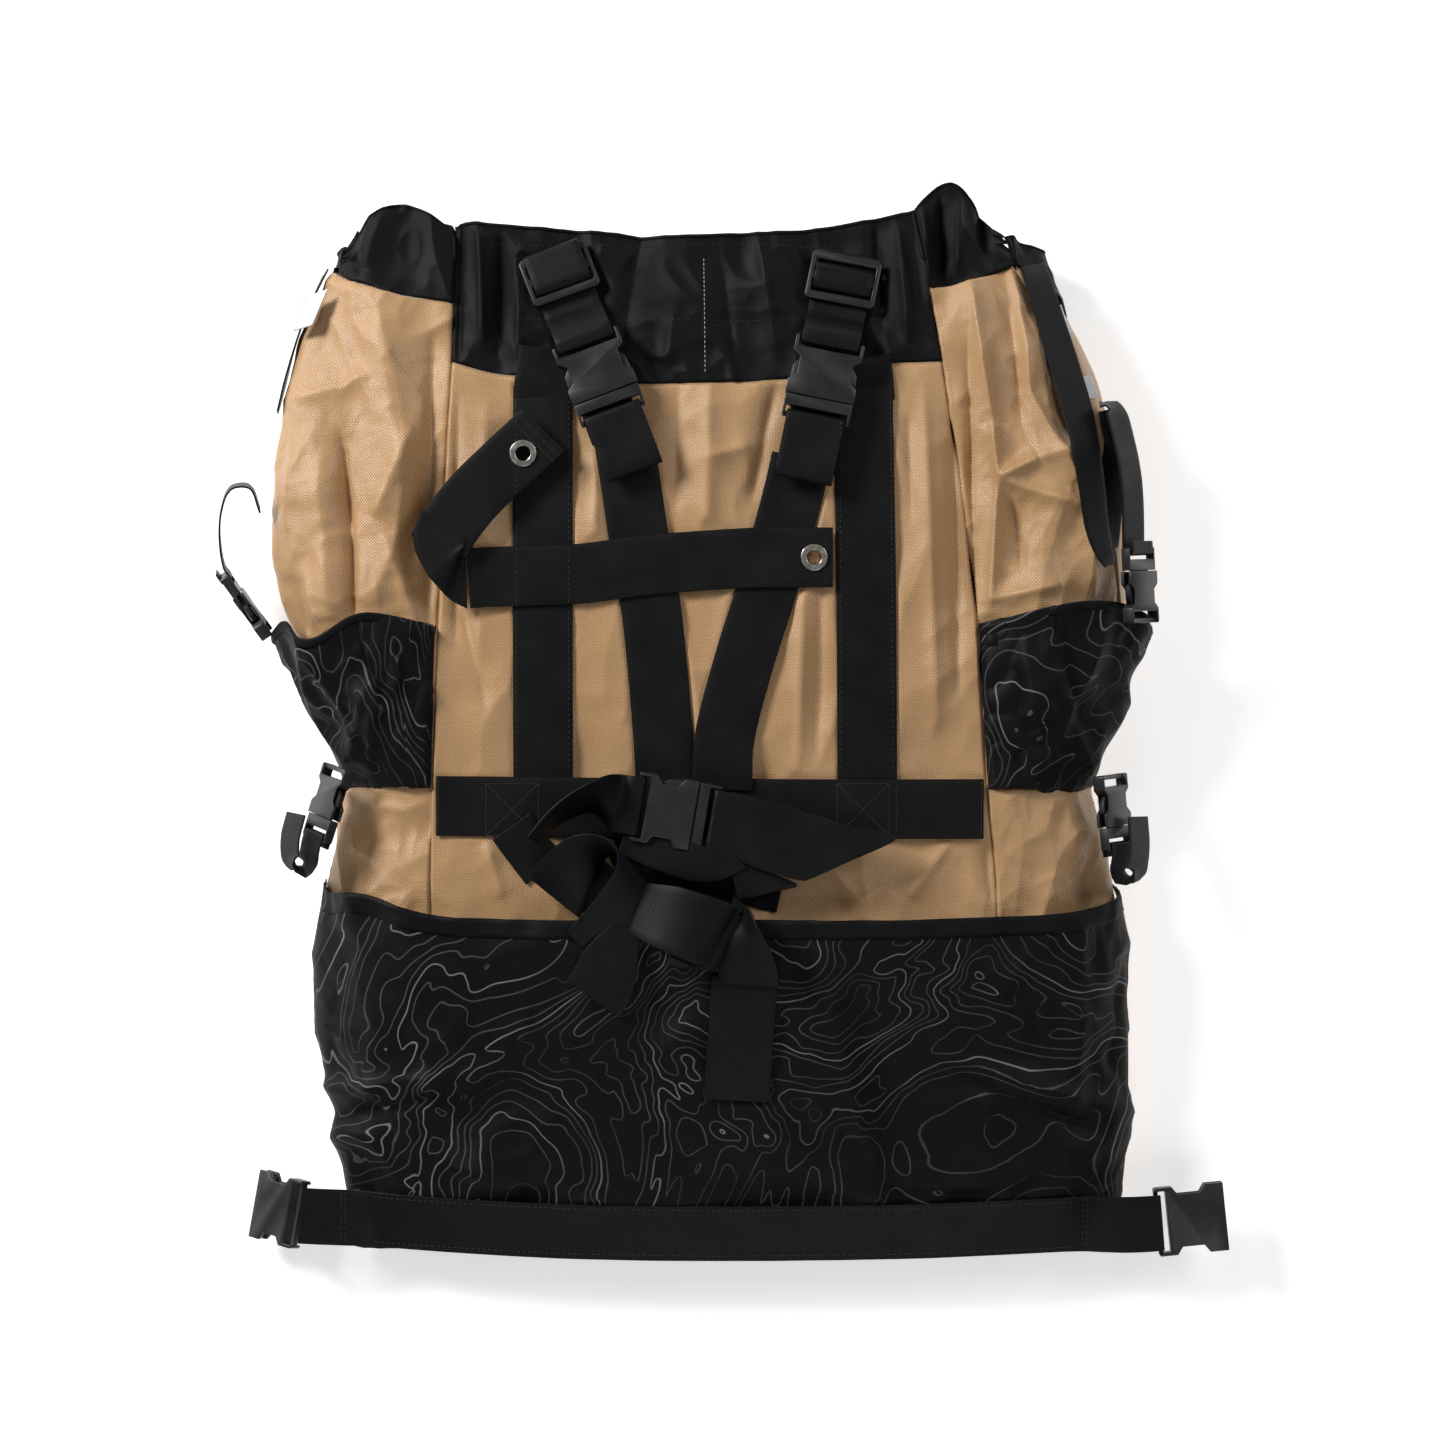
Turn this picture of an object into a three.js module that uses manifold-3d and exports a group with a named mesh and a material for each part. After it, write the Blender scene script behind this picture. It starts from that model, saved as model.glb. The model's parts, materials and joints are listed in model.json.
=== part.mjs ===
// Hunting backpack, empty, lying on its front with the back panel and harness up.
// Millimetres. +Z is up from the floor, +Y runs from the base to the mouth, +X is to the right of someone
// looking down on the back panel. The origin is on the floor under the middle of the bag.
import * as THREE from "three";
import * as BufferGeometryUtils from "three/addons/utils/BufferGeometryUtils.js";
import Module from "manifold-3d";

const wasm = await Module();
wasm.setup();

// Driving dimensions
const fabric = 1.6; // wall of a sewn panel
const webThick = 1.4; // one layer of webbing
const wideWeb = 38; // shoulder, waist and bottom webbing
const narrowWeb = 25; // side compression webbing
const layerStep = 2.0; // rise from one layer of webbing to the next
const layerGap = 0.6; // air under the lowest layer
const bodyPower = 6; // squareness of the bag's cross-section
const midHeight = 0.42; // height of the widest line, as a share of the section's height
const seamGap = 0.0015; // gap at a panel seam, in the section parameter
const foldGap = 0.004; // gap at the side fold, in the section parameter
const baseEnd = -337;
const floorContact = 0.4; // depth of the section's underside that is pressed flat by the floor
const puffHeight = 9; // extra height of the soft side panels
const collarGap = 0.5; // gap where the collar meets the panels below it
const endInset = 0.6; // the panels stop this far short of the base plate

// Cross-sections of the bag from the base to the mouth:
// y, left edge, right edge, left back seam, right back seam, height, left front seam, right front seam
const sections = [
  [-337, -236, 252, -186, 180, 30, -246, 262],
  [-300, -244, 258, -186, 180, 40, -254, 268],
  [-225, -251, 261, -186, 179, 53, -261, 271],
  [-130, -259, 256, -186, 176, 62, -269, 266],
  [-80, -249, 246, -186, 172, 64, -259, 256],
  [-42, -240, 236, -185, 168, 65, -250, 246],
  [10, -256, 250, -183, 165, 68, -266, 258],
  [60, -277, 262, -181, 162, 70, -287, 260],
  [130, -290, 262, -178, 155, 71, -300, 243],
  [200, -278, 247, -174, 144, 69, -286, 223],
  [260, -265, 224, -171, 135, 61, -264, 203],
  [300, -254, 210, -170, 128, 53, -246, 184],
  [350, -238, 190, -168, 119, 45, -230, 168],
];
const sectionFields = sections[0].length - 1;
const sectionTable = new THREE.CubicInterpolant(
  sections.map((row) => row[0]),
  sections.flatMap((row) => row.slice(1)),
  sectionFields,
);

function sectionAt(y) {
  const row = sectionTable.evaluate(y);
  const [left, right, leftSeam, rightSeam, height, leftFront, rightFront] = row;
  return { left, right, leftSeam, rightSeam, height, leftFront, rightFront };
}

const smooth = THREE.MathUtils.smoothstep;
const clamp = THREE.MathUtils.clamp;
const lerp = THREE.MathUtils.lerp;

// Extra height of the soft side panels, above the plain section
function puffAt(y, s) {
  const along = smooth(y, -110, 20) * (1 - smooth(y, 240, 340));
  const across = (Math.abs(s) - 0.82) / 0.11;
  return puffHeight * along * Math.exp(-across * across);
}

// The section parameter q runs round the bag: -1 at the left edge, 0 on top, 1 at the right edge, 2 underneath
function skinPoint(q, y, offset) {
  const turn = ((((q + 1) % 4) + 4) % 4) - 1;
  const isTop = turn <= 1;
  const phase = isTop ? turn : 2 - turn;
  const s = phase * (2 - Math.abs(phase));
  const section = sectionAt(y);
  const halfWidth = (section.right - section.left) / 2;
  const middle = (section.right + section.left) / 2;
  const waistLine = section.height * midHeight;
  const reach = isTop ? section.height - waistLine : waistLine;
  const rise = Math.sqrt(Math.max(0, 1 - Math.abs(s) ** bodyPower));
  const side = isTop ? 1 : -1;
  const normal = new THREE.Vector2(
    (Math.sign(s) * bodyPower * Math.abs(s) ** (bodyPower - 1)) / halfWidth,
    (side * 2 * rise) / reach,
  ).normalize();
  const x = middle + s * halfWidth + normal.x * offset;
  const level = waistLine + side * rise * reach;
  const shift = isTop ? puffAt(y, s) : -Math.min(level, floorContact);
  const z = level + shift + normal.y * offset;
  return new THREE.Vector3(x, y, z);
}

function shareAt(x, y) {
  const section = sectionAt(y);
  const halfWidth = (section.right - section.left) / 2;
  return clamp((x - (section.right + section.left) / 2) / halfWidth, -1, 1);
}

function parameterAt(x, y) {
  const s = shareAt(x, y);
  return Math.sign(s) * (1 - Math.sqrt(1 - Math.abs(s)));
}

function topOfBag(x, y) {
  return skinPoint(parameterAt(x, y), y, 0).z;
}

// The stow panel is a second skin over the lower end of the bag, open along its hem
const stowDepth = 15;
const stowSkin = 1.0;

function stowHem(s) {
  return -125 + 21 * Math.abs(s) ** 3;
}

function stowLift(s, y) {
  const down = clamp((stowHem(s) - y) / (stowHem(s) - baseEnd), 0, 1);
  return stowSkin + stowDepth * (1 - Math.abs(s) ** 8) * Math.sqrt(1 - down);
}

// Height of whatever a strap lies on: the bag itself, or the stow panel below its hem
function topOfPack(x, y) {
  const s = shareAt(x, y);
  const over = 1 - smooth(y, stowHem(s) + 1, stowHem(s) + 16);
  return topOfBag(x, y) + over * (stowLift(s, Math.min(y, stowHem(s))) + fabric);
}

// Materials
function finish(colour, roughness, metalness) {
  return () => new THREE.MeshStandardMaterial({ color: colour, roughness, metalness });
}
const tanFabric = finish(0xba966a, 0.75, 0);
const blackFabric = finish(0x17171a, 0.85, 0);
const printedFabric = finish(0x1c1c20, 0.8, 0);
const webbing = finish(0x141416, 0.7, 0);
const buckleResin = finish(0x2a2a2c, 0.45, 0);
const nickel = finish(0xb9b4aa, 0.3, 1);

const pack = new THREE.Group();

function addPart(name, geometry, makeMaterial, parent = pack) {
  const mesh = new THREE.Mesh(geometry, makeMaterial());
  mesh.name = name;
  parent.add(mesh);
  return mesh;
}

// A thin slab bent into place: place(u, v, w) gives the point for each of its three shares from 0 to 1
function bentSlab(columns, rows, place) {
  const slab = new THREE.BoxGeometry(1, 1, 1, columns, rows, 1);
  const positions = slab.attributes.position;
  for (let i = 0; i < positions.count; i += 1) {
    const point = place(positions.getX(i) + 0.5, positions.getY(i) + 0.5, positions.getZ(i) + 0.5);
    positions.setXYZ(i, point.x, point.y, point.z);
  }
  return plainSolid(slab);
}

function plainSolid(geometry) {
  const bare = geometry.clone();
  bare.deleteAttribute("normal");
  bare.deleteAttribute("uv");
  return BufferGeometryUtils.mergeVertices(bare, 1e-5);
}

// A panel of the bag, between two limits round the section and two limits along it
function bagPanel({ columns, rows, from, to, low, high, lift = () => 0 }) {
  return bentSlab(columns, rows, (u, v, w) => {
    const y = lerp(low(u), high(u), v);
    const q = lerp(from(y), to(y), u);
    return skinPoint(q, y, lift(u, v, q, y) - fabric * (1 - w));
  });
}

const leftSeam = (y) => parameterAt(sectionAt(y).leftSeam, y);
const rightSeam = (y) => parameterAt(sectionAt(y).rightSeam, y);
const leftFold = (y) => parameterAt(sectionAt(y).leftFront, y);
const rightFold = (y) => parameterAt(sectionAt(y).rightFront, y);

// Lines where the black collar meets the tan panels, across each panel
const backCollarLine = (u) => 230 - 14 * Math.sin(Math.PI * clamp(u * 1.15, 0, 1)) ** 0.6;
const leftCollarLine = (u) => lerp(291, 268, u);
const rightCollarLine = (u) => 277 + 16 * u;
const frontCollarLine = (u) => lerp(lerp(293, 291, u), 230, Math.sin(Math.PI * u) ** 0.8);

// Free edges of the mouth, across each collar piece
const backMouth = (u) => 316 + 4 * Math.cos(2 * Math.PI * u) + 8 * Math.max(0, 2 * u - 1) ** 4;
const leftMouth = (u) => 307 + 27 * Math.sin(Math.PI * clamp(u * 0.9, 0, 1)) ** 1.2;
const rightMouth = (u) => 329 + 19.4 * Math.sin(Math.PI * u) - 18 * u ** 3;
const frontMouth = (u) => lerp(lerp(311, 307, u), 300, Math.sin(Math.PI * u) ** 0.5);

function makeShell() {
  const base = () => baseEnd + endInset;
  const below = (line) => (u) => line(u) - collarGap;
  addPart("back_panel", bagPanel({
    columns: 16, rows: 18, low: base, high: below(backCollarLine),
    from: (y) => leftSeam(y) + seamGap, to: (y) => rightSeam(y) - seamGap,
  }), tanFabric);
  addPart("left_side_panel", bagPanel({
    columns: 7, rows: 25, low: base, high: below(leftCollarLine),
    from: (y) => leftFold(y) + foldGap, to: (y) => leftSeam(y) - seamGap,
  }), tanFabric);
  addPart("right_side_panel", bagPanel({
    columns: 7, rows: 25, low: base, high: below(rightCollarLine),
    from: (y) => rightSeam(y) + seamGap, to: (y) => rightFold(y) - foldGap,
  }), tanFabric);
  addPart("front_panel", bagPanel({
    columns: 18, rows: 25, low: base, high: (u) => frontCollarLine(u) - 3 * collarGap,
    from: (y) => rightFold(y) + foldGap, to: (y) => 4 + leftFold(y) - foldGap,
  }), tanFabric);
  addPart("back_collar", bagPanel({
    columns: 16, rows: 6, low: backCollarLine, high: backMouth,
    from: (y) => leftSeam(y) + seamGap, to: (y) => rightSeam(y) - seamGap,
  }), blackFabric);
  addPart("left_collar", bagPanel({
    columns: 7, rows: 4, low: leftCollarLine, high: leftMouth,
    from: (y) => leftFold(y) + foldGap, to: (y) => leftSeam(y) - seamGap,
  }), blackFabric);
  addPart("right_collar", bagPanel({
    columns: 7, rows: 4, low: rightCollarLine, high: rightMouth,
    from: (y) => rightSeam(y) + seamGap, to: (y) => rightFold(y) - foldGap,
  }), blackFabric);
  addPart("front_collar", bagPanel({
    columns: 18, rows: 4, low: frontCollarLine, high: frontMouth,
    from: (y) => rightFold(y) + foldGap, to: (y) => 4 + leftFold(y) - foldGap,
  }), blackFabric);
}

// The base closes the lower end: a flat plate with the outline of the last section
function makeBase() {
  const outline = new THREE.Shape();
  const steps = 40;
  for (let i = 0; i < steps; i += 1) {
    const point = skinPoint(-1 + (4 * i) / steps, baseEnd, 0);
    if (i === 0) {
      outline.moveTo(point.x, point.z);
    } else {
      outline.lineTo(point.x, point.z);
    }
  }
  const plate = new THREE.ExtrudeGeometry(outline, { depth: fabric, bevelEnabled: false });
  plate.rotateX(Math.PI / 2);
  plate.translate(0, baseEnd, 0);
  addPart("base_panel", plainSolid(plate), blackFabric);
}

function makeStowPanel() {
  const wrap = 1.03;
  addPart("stow_panel", bagPanel({
    columns: 24, rows: 9, from: () => -wrap, to: () => wrap,
    low: () => baseEnd - 2.4, high: (u) => stowHem(2 * u - 1),
    lift: (u, v, q, y) => fabric + stowLift(clamp(q * (2 - Math.abs(q)), -1, 1), y),
  }), printedFabric);
}

// Open-topped bottle pocket over each side panel
function makePocket(name, from, to, hemLine) {
  const depth = 15;
  const skin = 2.2;
  const bottom = -42;
  addPart(name, bagPanel({
    columns: 9, rows: 8, from, to, low: () => bottom, high: hemLine,
    lift: (u, v) => fabric + skin + depth * Math.sin(Math.PI * clamp(u, 0, 1)) ** 0.7 * Math.sqrt(v),
  }), printedFabric);
}

function makePockets() {
  makePocket("left_bottle_pocket", () => -1.1, (y) => leftSeam(y) - 0.006,
    (u) => 55 + 16 * Math.sin(Math.PI * clamp(u * 1.3 - 0.3, 0, 1)) + 6 * u);
  makePocket("right_bottle_pocket", (y) => rightSeam(y) + 0.006, () => 1.1,
    (u) => 62 + 18 * Math.sin(Math.PI * clamp(u * 1.2, 0, 1)) - 6 * u);
}

// Webbing laid on the pack along a line of [x, y, lift] points
function laidWeb({ points, width, rows, ground = topOfBag, columns = 2 }) {
  const line = new THREE.CatmullRomCurve3(points.map(([x, y, lift]) => new THREE.Vector3(x, y, lift)));
  return bentSlab(columns, rows, (u, v, w) => {
    const at = line.getPointAt(v);
    const along = line.getTangentAt(v);
    const across = new THREE.Vector2(along.y, -along.x).normalize();
    const x = at.x + across.x * width * (u - 0.5);
    const y = at.y + across.y * width * (u - 0.5);
    return new THREE.Vector3(x, y, ground(x, y) + at.z + webThick * w);
  });
}

// Webbing through open air: each stop is a centre point with the direction of the web's width there
function freeWeb({ stops, width, rowsPerStop = 3, columns = 1 }) {
  const line = new THREE.CatmullRomCurve3(stops.map(([point]) => point), false, "centripetal");
  const spans = stops.length - 1;
  return bentSlab(columns, spans * rowsPerStop, (u, v, w) => {
    const at = line.getPoint(v);
    const along = line.getTangent(v);
    const span = Math.min(Math.floor(v * spans + 1e-6), spans - 1);
    const across = stops[span][1].clone().lerp(stops[span + 1][1], v * spans - span);
    across.addScaledVector(along, -across.dot(along)).normalize();
    const up = new THREE.Vector3().crossVectors(across, along);
    return at.addScaledVector(across, width * (u - 0.5)).addScaledVector(up, webThick * (w - 0.5));
  });
}

const layer = (count) => layerGap + layerStep * (count - 1);
const waistLow = -54;

function makeBackStraps() {
  addPart("left_frame_strap", laidWeb({
    points: [[-114, -46, layer(1)], [-114, 90, layer(1)], [-114, 214, layer(1)]],
    width: wideWeb, rows: 14,
  }), webbing);
  addPart("right_frame_strap", laidWeb({
    points: [[92, -46, layer(1)], [91, 90, layer(1)], [89, 213, layer(1)]],
    width: wideWeb, rows: 14,
  }), webbing);
  addPart("left_yoke_strap", laidWeb({
    points: [[-62, 176, layer(1)], [-58, 150, layer(1)], [-52, 110, layer(1)],
      [-45, 70, layer(1)], [-37, -20, layer(1)], [-36, -46, layer(1)]],
    width: wideWeb, rows: 14,
  }), webbing);
  addPart("right_yoke_strap", laidWeb({
    points: [[50, 168, layer(1)], [46, 150, layer(1)], [28, 84, layer(1)],
      [14, 40, layer(2)], [1, -12, layer(3)], [0, -43, layer(3)]],
    width: wideWeb, rows: 18,
  }), webbing);
  addPart("waist_strap", laidWeb({
    points: [[-182, waistLow + 1, layer(2)], [-80, waistLow, layer(2)],
      [60, waistLow - 1, layer(2)], [166, waistLow - 1, layer(2)]],
    width: wideWeb, rows: 22,
  }), webbing);
}

// An eyelet pressed into webbing: two flanges and a barrel, turned about its own axis
const eyeletOuter = 8.5;
const eyeletInner = 4.8;
const eyeletWall = 0.9;
const eyeletHole = 6.3;

function grommetRing() {
  const half = webThick / 2 + 0.4;
  const barrel = eyeletInner + eyeletWall;
  const rim = half + eyeletWall;
  const profile = [
    [eyeletInner, -rim], [eyeletOuter, -rim], [eyeletOuter, -half], [barrel, -half],
    [barrel, half], [eyeletOuter, half], [eyeletOuter, rim], [eyeletInner, rim], [eyeletInner, -rim],
  ];
  const ring = new THREE.LatheGeometry(profile.map(([r, z]) => new THREE.Vector2(r, z)), 20);
  ring.rotateX(Math.PI / 2);
  return plainSolid(ring);
}

function toManifold(geometry) {
  const mesh = plainSolid(geometry);
  const solid = new wasm.Mesh({
    numProp: 3,
    vertProperties: Float32Array.from(mesh.attributes.position.array),
    triVerts: Uint32Array.from(mesh.index.array),
  });
  return new wasm.Manifold(solid);
}

function fromManifold(solid) {
  const mesh = solid.getMesh();
  const geometry = new THREE.BufferGeometry();
  geometry.setAttribute("position", new THREE.BufferAttribute(Float32Array.from(mesh.vertProperties), 3));
  geometry.setIndex(new THREE.BufferAttribute(Uint32Array.from(mesh.triVerts), 1));
  return geometry;
}

function block(x0, x1, y0, y1, z0, z1) {
  const box = new THREE.BoxGeometry(x1 - x0, y1 - y0, z1 - z0);
  box.translate((x0 + x1) / 2, (y0 + y1) / 2, (z0 + z1) / 2);
  return toManifold(box);
}

function cutAll(solid, tools) {
  return tools.reduce((result, tool) => result.subtract(tool), solid);
}

function prism(points, z0, z1) {
  const shape = new THREE.Shape(points.map(([x, y]) => new THREE.Vector2(x, y)));
  const solid = new THREE.ExtrudeGeometry(shape, { depth: z1 - z0, bevelEnabled: false });
  solid.translate(0, 0, z0);
  return toManifold(solid);
}

// Side-release buckles. Local axes: the male leaves the female along +X, +Y is across, +Z is up.
const wideBuckle = { web: 38, width: 44, length: 38, base: 11, head: 9, notch: 5, height: 9.5 };
const longBuckle = { ...wideBuckle, length: 45, head: 12, base: 12 };
const smallBuckle = { web: 25, width: 30, length: 33, base: 9.5, head: 8, notch: 4, height: 8 };
const barDepth = 3;
const slotDepth = 4.5;
const barHalf = 2;

const wallThick = 3; // side walls of the female half
const cavityHalf = 2.9; // half the height inside it
const windowHalf = 1.9; // half the height of its side windows
const guideHalf = 1.8; // half the thickness of the male's middle tongue
const armHalf = 1.4; // half the thickness of its flexing arms

// Cuts that leave a bar for the webbing: outward is the direction from the body to the bar
function barCuts(buckle, barEdge, outward) {
  const half = buckle.web / 2 + 0.8;
  const deep = buckle.height;
  const slotNear = barEdge - outward * barDepth;
  const slotFar = slotNear - outward * slotDepth;
  const low = Math.min(slotNear, slotFar);
  const high = Math.max(slotNear, slotFar);
  const outerLow = Math.min(barEdge + outward, slotNear);
  const outerHigh = Math.max(barEdge + outward, slotNear);
  return [
    block(low, high, -half, half, -deep, deep),
    block(outerLow, outerHigh, -half, half, barHalf, deep),
    block(outerLow, outerHigh, -half, half, -deep, -barHalf),
  ];
}

function femaleSolid(buckle) {
  const half = buckle.width / 2;
  const waist = half - buckle.notch;
  const slope = 3.5;
  const end = -buckle.length;
  const a = end + buckle.base;
  const b = -buckle.head;
  const rim = half - 1;
  const right = [[end, rim], [end + 1, half], [a, half], [a + slope, waist],
    [b - slope, waist], [b, half], [0, half]];
  const left = right.map(([x, y]) => [x, -y]).reverse();
  const body = prism([...left, ...right].reverse(), -buckle.height / 2, buckle.height / 2);
  const cavity = half - wallThick;
  return cutAll(body, [
    block(a, 1, -cavity, cavity, -cavityHalf, cavityHalf),
    block(b - slope - 1, 1, cavity - 1, half + 1, -windowHalf, windowHalf),
    block(b - slope - 1, 1, -half - 1, -cavity + 1, -windowHalf, windowHalf),
    ...barCuts(buckle, end, -1),
  ]);
}

const maleGap = 0.5;
const maleLength = 15;

function maleSolid(buckle) {
  const half = buckle.width / 2 - 0.5;
  const thick = buckle.height / 2 - 1;
  const tongue = buckle.length - buckle.base - 3;
  const frame = prism([[maleGap, -half], [maleLength - 1, -half], [maleLength, -half + 1],
    [maleLength, half - 1], [maleLength - 1, half], [maleGap, half]], -thick, thick);
  const guide = prism([[-tongue, -3], [-tongue + 4, -5.5], [maleGap + 1, -5.5],
    [maleGap + 1, 5.5], [-tongue + 4, 5.5], [-tongue, 3]], -guideHalf, guideHalf);
  return cutAll(frame, barCuts(buckle, maleLength, 1)).add(guide);
}

// One flexing arm with its barb and thumb pad, on the side given by sign
function prongSolid(buckle, sign, root) {
  const half = buckle.width / 2;
  const inner = half - 11;
  const pad = half - 1;
  const reach = buckle.length - buckle.base - 2.5;
  const b = buckle.head + 0.8;
  const points = [[root, inner + 0.5], [root, inner + 4], [-b + 1.5, half - 4.2], [-b - 0.6, pad],
    [-reach + 6, pad - 0.5], [-reach, half - 6], [-reach, half - 8], [-b, inner + 3]];
  const signed = points.map(([x, y]) => [x, y * sign]);
  return prism(sign > 0 ? signed.reverse() : signed, -armHalf, armHalf);
}

// A group whose X axis runs along the pack's surface in the given heading, at a lift above it
function surfaceFrame(x, y, heading, lift, ground = topOfBag) {
  const direction = new THREE.Vector2(...heading).normalize();
  const reach = 18;
  const slope = (dx, dy) => (ground(x + dx * reach, y + dy * reach)
    - ground(x - dx * reach, y - dy * reach)) / (2 * reach);
  const along = new THREE.Vector3(direction.x, direction.y, slope(direction.x, direction.y)).normalize();
  const across = new THREE.Vector3(-direction.y, direction.x, slope(-direction.y, direction.x)).normalize();
  return frameFrom(new THREE.Vector3(x, y, ground(x, y) + lift), along, across);
}

function frameFrom(origin, along, across) {
  const up = new THREE.Vector3().crossVectors(along, across).normalize();
  const side = new THREE.Vector3().crossVectors(up, along);
  const matrix = new THREE.Matrix4().makeBasis(along.clone().normalize(), side, up).setPosition(origin);
  const frame = new THREE.Group();
  matrix.decompose(frame.position, frame.quaternion, frame.scale);
  frame.updateMatrixWorld(true);
  return frame;
}

function inFrame(frame, x, y, z) {
  return frame.localToWorld(new THREE.Vector3(x, y, z));
}

function axisOf(frame, x, y, z) {
  return new THREE.Vector3(x, y, z).transformDirection(frame.matrixWorld);
}

// Stops of webbing that goes over a bar, through the slot and back under it; sign is the way out of the body
function barLoop(frame, edge, sign, tail) {
  const across = axisOf(frame, 0, -sign, 0);
  const route = [[-tail, 3.1], [1.2, 3.2], [3.5, 2.8], [4.6, 0], [3.5, -2.8], [1.2, -3.2], [-tail, -3.1]];
  return route.map(([inward, z]) => [inFrame(frame, edge - sign * inward, 0, z), across]);
}

function addBuckle(prefix, buckle, frame, { loosePairs }) {
  addPart(`${prefix}_female`, fromManifold(femaleSolid(buckle)), buckleResin, frame);
  if (loosePairs) {
    const root = 0.1;
    addPart(`${prefix}_male`, fromManifold(maleSolid(buckle)), buckleResin, frame);
    addPart(`${prefix}_prong_a`, fromManifold(prongSolid(buckle, 1, root)), buckleResin, frame);
    addPart(`${prefix}_prong_b`, fromManifold(prongSolid(buckle, -1, root)), buckleResin, frame);
  } else {
    const root = maleGap + 1;
    const male = maleSolid(buckle).add(prongSolid(buckle, 1, root)).add(prongSolid(buckle, -1, root));
    addPart(`${prefix}_male`, fromManifold(male), buckleResin, frame);
  }
  pack.add(frame);
}

// Webbing slider with two slots and a middle bar
function triGlideSolid() {
  const length = 32;
  const width = 45;
  const bar = 5;
  const slot = (length - 3 * bar) / 2;
  const corner = 2;
  const l = length / 2;
  const w = width / 2;
  const plate = prism([[-l + corner, -w], [l - corner, -w], [l, -w + corner], [l, w - corner],
    [l - corner, w], [-l + corner, w], [-l, w - corner], [-l, -w + corner]], -1.5, 1.5);
  const half = wideWeb / 2 + 0.7;
  return cutAll(plate, [
    block(-l + bar, -l + bar + slot, -half, half, -3, 3),
    block(l - bar - slot, l - bar, -half, half, -3, 3),
  ]);
}

const glideLift = 5; // height of the slider above the bag
const shoulderLift = 11.2; // and of the shoulder buckles
const waistLift = 16; // and of the waist buckle

// One shoulder harness: slider, upper web, buckle and the doubled web below it
function makeShoulder(side, glide, heading, glideToMouth) {
  const direction = new THREE.Vector2(...heading).normalize();
  const at = (distance) => [glide[0] + direction.x * distance, glide[1] + direction.y * distance];
  const frame = surfaceFrame(...at(glideToMouth), heading, shoulderLift);
  addBuckle(`${side}_shoulder`, wideBuckle, frame, { loosePairs: true });
  const glideFrame = surfaceFrame(...glide, heading, glideLift);
  addPart(`${side}_tri_glide`, fromManifold(triGlideSolid()), buckleResin, glideFrame);
  pack.add(glideFrame);
  const under = (distance, z) => [inFrame(glideFrame, distance, 0, z), axisOf(glideFrame, 0, 1, 0)];
  addPart(`${side}_shoulder_web`, freeWeb({
    stops: [under(-19, -3.5), under(0, -3.5), under(15, -3.5), under(25, -3.2),
      ...barLoop(frame, -wideBuckle.length, -1, 4)],
    width: wideWeb - 1,
  }), webbing);
  const fold = 49;
  const across = axisOf(frame, 0, -1, 0);
  const beyond = (distance, z) => [inFrame(frame, distance, 0, z), across];
  addPart(`${side}_shoulder_loop`, freeWeb({
    stops: [beyond(maleLength + 12, -3.2), beyond(maleLength + 24, -3.6), beyond(fold, -3.2),
      beyond(fold + 3.5, -0.4), beyond(fold, 2.4), beyond(maleLength + 16, 3),
      ...barLoop(frame, maleLength, 1, 4)],
    width: wideWeb - 1, rowsPerStop: 2,
  }), webbing);
}

// A round hole through webbing at a point
function punched(geometry, point) {
  const punch = new THREE.CylinderGeometry(eyeletHole, eyeletHole, 20, 20);
  punch.rotateX(Math.PI / 2);
  punch.translate(point.x, point.y, point.z);
  return fromManifold(toManifold(geometry).subtract(toManifold(punch)));
}

// Cross strap with an eyelet at its fixed end, folded back on itself at the other
function makeGrommetStrap() {
  const over = (x, y, lift) => new THREE.Vector3(x, y, topOfBag(x, y) + lift);
  const eyeletLift = layer(2) + 1.5;
  const fixedEye = over(58, 104.5, eyeletLift + webThick / 2);
  const cross = laidWeb({
    points: [[-166, 91, layer(2) + 3], [-150, 92, layer(2) + 1], [-94, 94, layer(2)], [-52, 99.5, layer(2)],
      [22, 104.5, layer(2) + 0.7], [50, 104.5, eyeletLift], [70, 104.5, eyeletLift]],
    width: wideWeb, rows: 20,
  });
  addPart("grommet_strap", punched(cross, fixedEye), webbing);
  addPart("right_grommet", grommetRing(), nickel).position.copy(fixedEye);

  const endHeight = 81;
  const flat = (x, y, z) => new THREE.Vector3(x, y, z);
  const freeEye = flat(-126, 170, endHeight);
  const slant = new THREE.Vector3(0.71, -0.7, 0);
  const freeEnd = freeWeb({
    stops: [[flat(-183, 100, endHeight), new THREE.Vector3(0.93, -0.35, 0)],
      [flat(-176, 118, endHeight + 2), new THREE.Vector3(0.88, -0.45, 0)],
      [flat(-158, 142, endHeight + 1), new THREE.Vector3(0.78, -0.6, 0)],
      [flat(-141, 159, endHeight), slant], [flat(-113, 185, endHeight), slant]],
    width: wideWeb, columns: 2,
  });
  addPart("grommet_strap_end", punched(freeEnd, freeEye), webbing);
  addPart("left_grommet", grommetRing(), nickel).position.copy(freeEye);
}

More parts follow.
